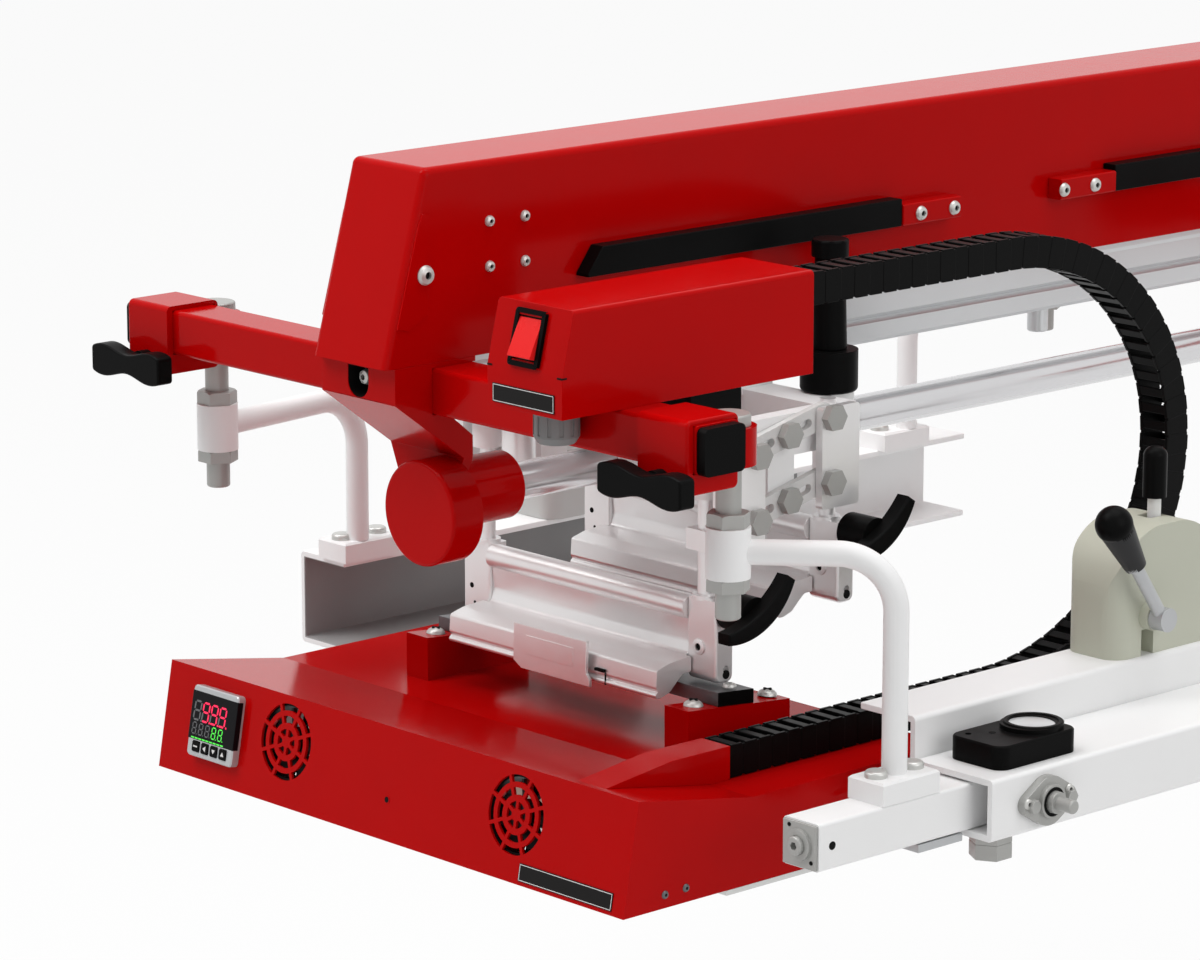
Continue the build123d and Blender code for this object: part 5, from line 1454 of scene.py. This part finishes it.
@dataclass
class EnergyChain:
    """The energy chain between the fixed control box and the moving heater.

    Attributes:
        x: The plane that it runs in.
        start_y: Where it leaves the control box.
        end_y: Where it ends on the heater.
        turn_y: Where the bend begins.
        high: Height of the upper run.
        low: Height of the lower run.
        reach: How far the bend reaches to the rear.
        pitch: About the length of a link.
        width: Width of the chain.
        height: Height of its side plates.
    """

    x: float = 181.4
    start_y: float = 183.0
    end_y: float = 127.0
    turn_y: float = 385.0
    high: float = 362.3
    low: float = 67.6
    reach: float = 167.0
    pitch: float = 13.2
    width: float = 25.0
    height: float = 21.5

    def bend(self, share: float) -> Vector:
        """Find a point on the bend.

        Args:
            share: How far it lies along the half turn, 0 to 1.

        Returns:
            The point.
        """
        angle, half = math.pi * share, (self.high - self.low) / 2
        y = self.turn_y + self.reach * math.sin(angle)
        return Vector((self.x, y, self.low + half + half * math.cos(angle)))

    def stations(self, points: list[Vector]) -> list[Vector]:
        """Divide a line into hinges about a pitch apart.

        Args:
            points: The line's points.

        Returns:
            The hinges.
        """
        lengths = [0.0]
        for first, second in zip(points, points[1:]):
            lengths.append(lengths[-1] + (second - first).length)
        count = round(lengths[-1] / self.pitch)
        hinges, index = [], 0
        for number in range(count + 1):
            wanted = lengths[-1] * number / count
            while index < len(points) - 2 and lengths[index + 1] < wanted:
                index += 1
            share = (wanted - lengths[index]) / (lengths[index + 1] - lengths[index])
            hinges.append(points[index].lerp(points[index + 1], share))
        return hinges

    def link(self, bench: Bench, first: Vector, second: Vector, inset: float) -> None:
        """Add one link: two side plates with their rims, and the bars across them.

        Args:
            bench: The bench.
            first: The hinge at its start.
            second: The hinge at its end.
            inset: How far its plates stand in from the chain's width.
        """
        along, across = (second - first).normalized(), Vector((1, 0, 0))
        turn = Matrix((along, across, along.cross(across))).transposed().to_4x4()
        place = Matrix.Translation((first + second) / 2) @ turn
        half, side, tall = (second - first).length / 2, self.width / 2, self.height / 2
        plate, overlap, lip, rim, bar = 2.4, 0.6, 0.9, 1.6, 0.9
        for sign in (-1, 1):
            near, far = sorted((sign * (side - inset), sign * (side - plate - inset)))
            low, high = (-half - overlap, near, -tall + lip), (half + overlap, far, tall - lip)
            bench.block(low, high, 0.3, 0, place)
            for z in (-tall, tall - rim):
                low, high = (-half * 0.78, near, z), (half * 0.78, far, z + rim)
                bench.block(low, high, 0.35, 0, place)
        for z in (1.3 - tall, tall - 1.3):
            low, high = (-half * 0.5, 1.5 - side, z - bar), (half * 0.5, side - 1.5, z + bar)
            bench.block(low, high, 0.5, 0, place)

    def strand(
        self, name: str, points: list[Vector], bodies: tuple[str, str], start: Point, end: Point,
    ) -> None:
        """Make one strand of the chain.

        Args:
            name: The piece's name.
            points: Its line.
            bodies: The bodies at its two ends, handed on in the blend; the piece follows neither.
            start: A point at its first end, handed on in the blend.
            end: A point at its second end, handed on in the blend.
        """
        bench = Bench()
        hinges = self.stations(points)
        for number, (first, second) in enumerate(zip(hinges, hinges[1:])):
            self.link(bench, first, second, 0.25 * (number % 2))
        first, second = (tuple(MOVE_TO_FLANGE @ Vector(point)) for point in (start, end))
        blend = (*bodies, first, second)
        bench.finish(name, "", (CHAIN_PLASTIC,), "black_plastic", ("cable_chain",), blend)

    def build(self) -> None:
        """Make the chain in two strands: upper run with the bend, and lower run."""
        x, turn, steps = self.x, self.turn_y, 240
        upper = [Vector((x, self.start_y, self.high))]
        upper += [self.bend(step / steps) for step in range(steps + 1)]
        lower = [Vector((x, turn, self.low)), Vector((x, self.end_y, self.low))]
        ends = ((x, turn, self.high), (x, turn, self.low + 4))
        self.strand("chain_upper_strand", upper, ("frame", "carriage"), *ends)
        ends = ((x, turn - 4, self.low), (x, turn - 90, self.low))
        self.strand("chain_lower_strand", lower, ("carriage", "front_holder"), *ends)


@dataclass
class Studio:
    """Camera, lamps, floor and backdrop.

    Attributes:
        lens: Focal length in millimetres.
        azimuth: The camera's azimuth in degrees.
        elevation: The camera's elevation in degrees.
        place: The camera's place in metres.
        middle: The point that the lamps face.
        floor_place: The middle of the floor.
        floor_white: Share of plain white in the floor as the camera sees it.
        world_light: Strength of the soft light from all sides.
    """

    lens: float = 145.4
    azimuth: float = 47.34
    elevation: float = 12.67
    place: Point = (2.3049, -3.0096, 0.5345)
    middle: Point = (0, -0.75, -0.1)
    floor_place: Point = (0, -0.55, -0.74)
    floor_white: float = 0.93
    world_light: float = 0.36

    def set_up(
        self, name: str, data: bpy.types.Camera | bpy.types.Light, place: Point, facing: Vector,
    ) -> bpy.types.Object:
        """Put a camera or lamp in the scene.

        Args:
            name: Its name.
            data: Its data.
            place: Where it stands.
            facing: The direction that it looks in.

        Returns:
            Its object.
        """
        item = bpy.data.objects.new(name, data)
        bpy.context.scene.collection.objects.link(item)
        item.location = place
        item.rotation_mode = "QUATERNION"
        item.rotation_quaternion = facing.to_track_quat("-Z", "Y")
        return item

    def camera(self) -> None:
        """Set the camera at the photograph's place."""
        data = bpy.data.cameras.new("camera")
        data.lens = self.lens
        data.sensor_width = 36
        data.clip_end = 50
        turn, rise = math.radians(self.azimuth), math.radians(self.elevation)
        level = math.cos(rise)
        facing = -Vector((math.sin(turn) * level, -math.cos(turn) * level, math.sin(rise)))
        bpy.context.scene.camera = self.set_up("camera", data, self.place, facing)

    def lamp(self, name: str, place: Point, size: float, power: float) -> None:
        """Add one soft lamp.

        Args:
            name: Its name.
            place: Where it hangs.
            size: Its width in metres.
            power: Its power in watts.
        """
        data = bpy.data.lights.new(name, "AREA")
        data.size = size
        data.energy = power
        self.set_up(name, data, place, Vector(self.middle) - Vector(place))

    def world(self) -> None:
        """Make the world: soft light, and white to the camera and in reflections."""
        bpy.context.scene.world = bpy.data.worlds.new("studio")
        graph = Graph(bpy.context.scene.world)
        soft, white = (
            graph.node("ShaderNodeBackground", {}, {"Color": WHITE, "Strength": strength})
            for strength in (self.world_light, 1.0)
        )
        sockets = {0: graph.looked_at(), 1: soft, 2: white}
        graph.end(graph.node("ShaderNodeMixShader", {}, sockets), "ShaderNodeOutputWorld")

    def floor_finish(self) -> bpy.types.Material:
        """Make the floor's finish: pale, and nearly white to the camera and in reflections.

        Returns:
            The material.
        """
        graph = Graph(bpy.data.materials.new("floor"))
        pale = {"Base Color": (0.75, 0.75, 0.75), "Roughness": 0.9}
        matt = graph.node("ShaderNodeBsdfPrincipled", {}, pale)
        white = graph.node("ShaderNodeEmission", {}, {"Color": WHITE, "Strength": 1.0})
        share = graph.looked_at() * self.floor_white
        return graph.end(graph.node("ShaderNodeMixShader", {}, {0: share, 1: matt, 2: white}))

    def floor(self) -> None:
        """Lay the pale floor."""
        shape = bmesh.new()
        bmesh.ops.create_circle(shape, cap_ends=True, segments=64, radius=9)
        bmesh.ops.translate(shape, verts=shape.verts, vec=self.floor_place)
        data = bpy.data.meshes.new("floor")
        shape.to_mesh(data)
        shape.free()
        data.materials.append(self.floor_finish())
        floor = bpy.data.objects.new("floor", data)
        bpy.context.scene.collection.objects.link(floor)

    def build(self) -> None:
        """Set up the whole studio."""
        bpy.context.scene.view_settings.view_transform = "Standard"
        self.camera()
        self.world()
        self.lamp("key", (-1.2, -2.6, 2.6), 2.2, 78)
        self.lamp("top", (0.4, -0.6, 3.0), 2.6, 56)
        self.lamp("side", (3.2, -0.6, 1.2), 2.4, 30)
        self.floor()


def main() -> None:
    """Build the press and the studio."""
    logging.basicConfig(level=logging.INFO, format="%(message)s")
    kinds = (
        Studio, NodeDress, BeamTrim, HeaterTrim, ControllerFace, BoxTrim, RegulatorTrim,
        HolderTrim, TubeTrim, EnergyChain,
    )
    for kind in kinds:
        kind().build()
        LOG.info("%s done", kind.__name__)


if __name__ == "__main__":
    main()
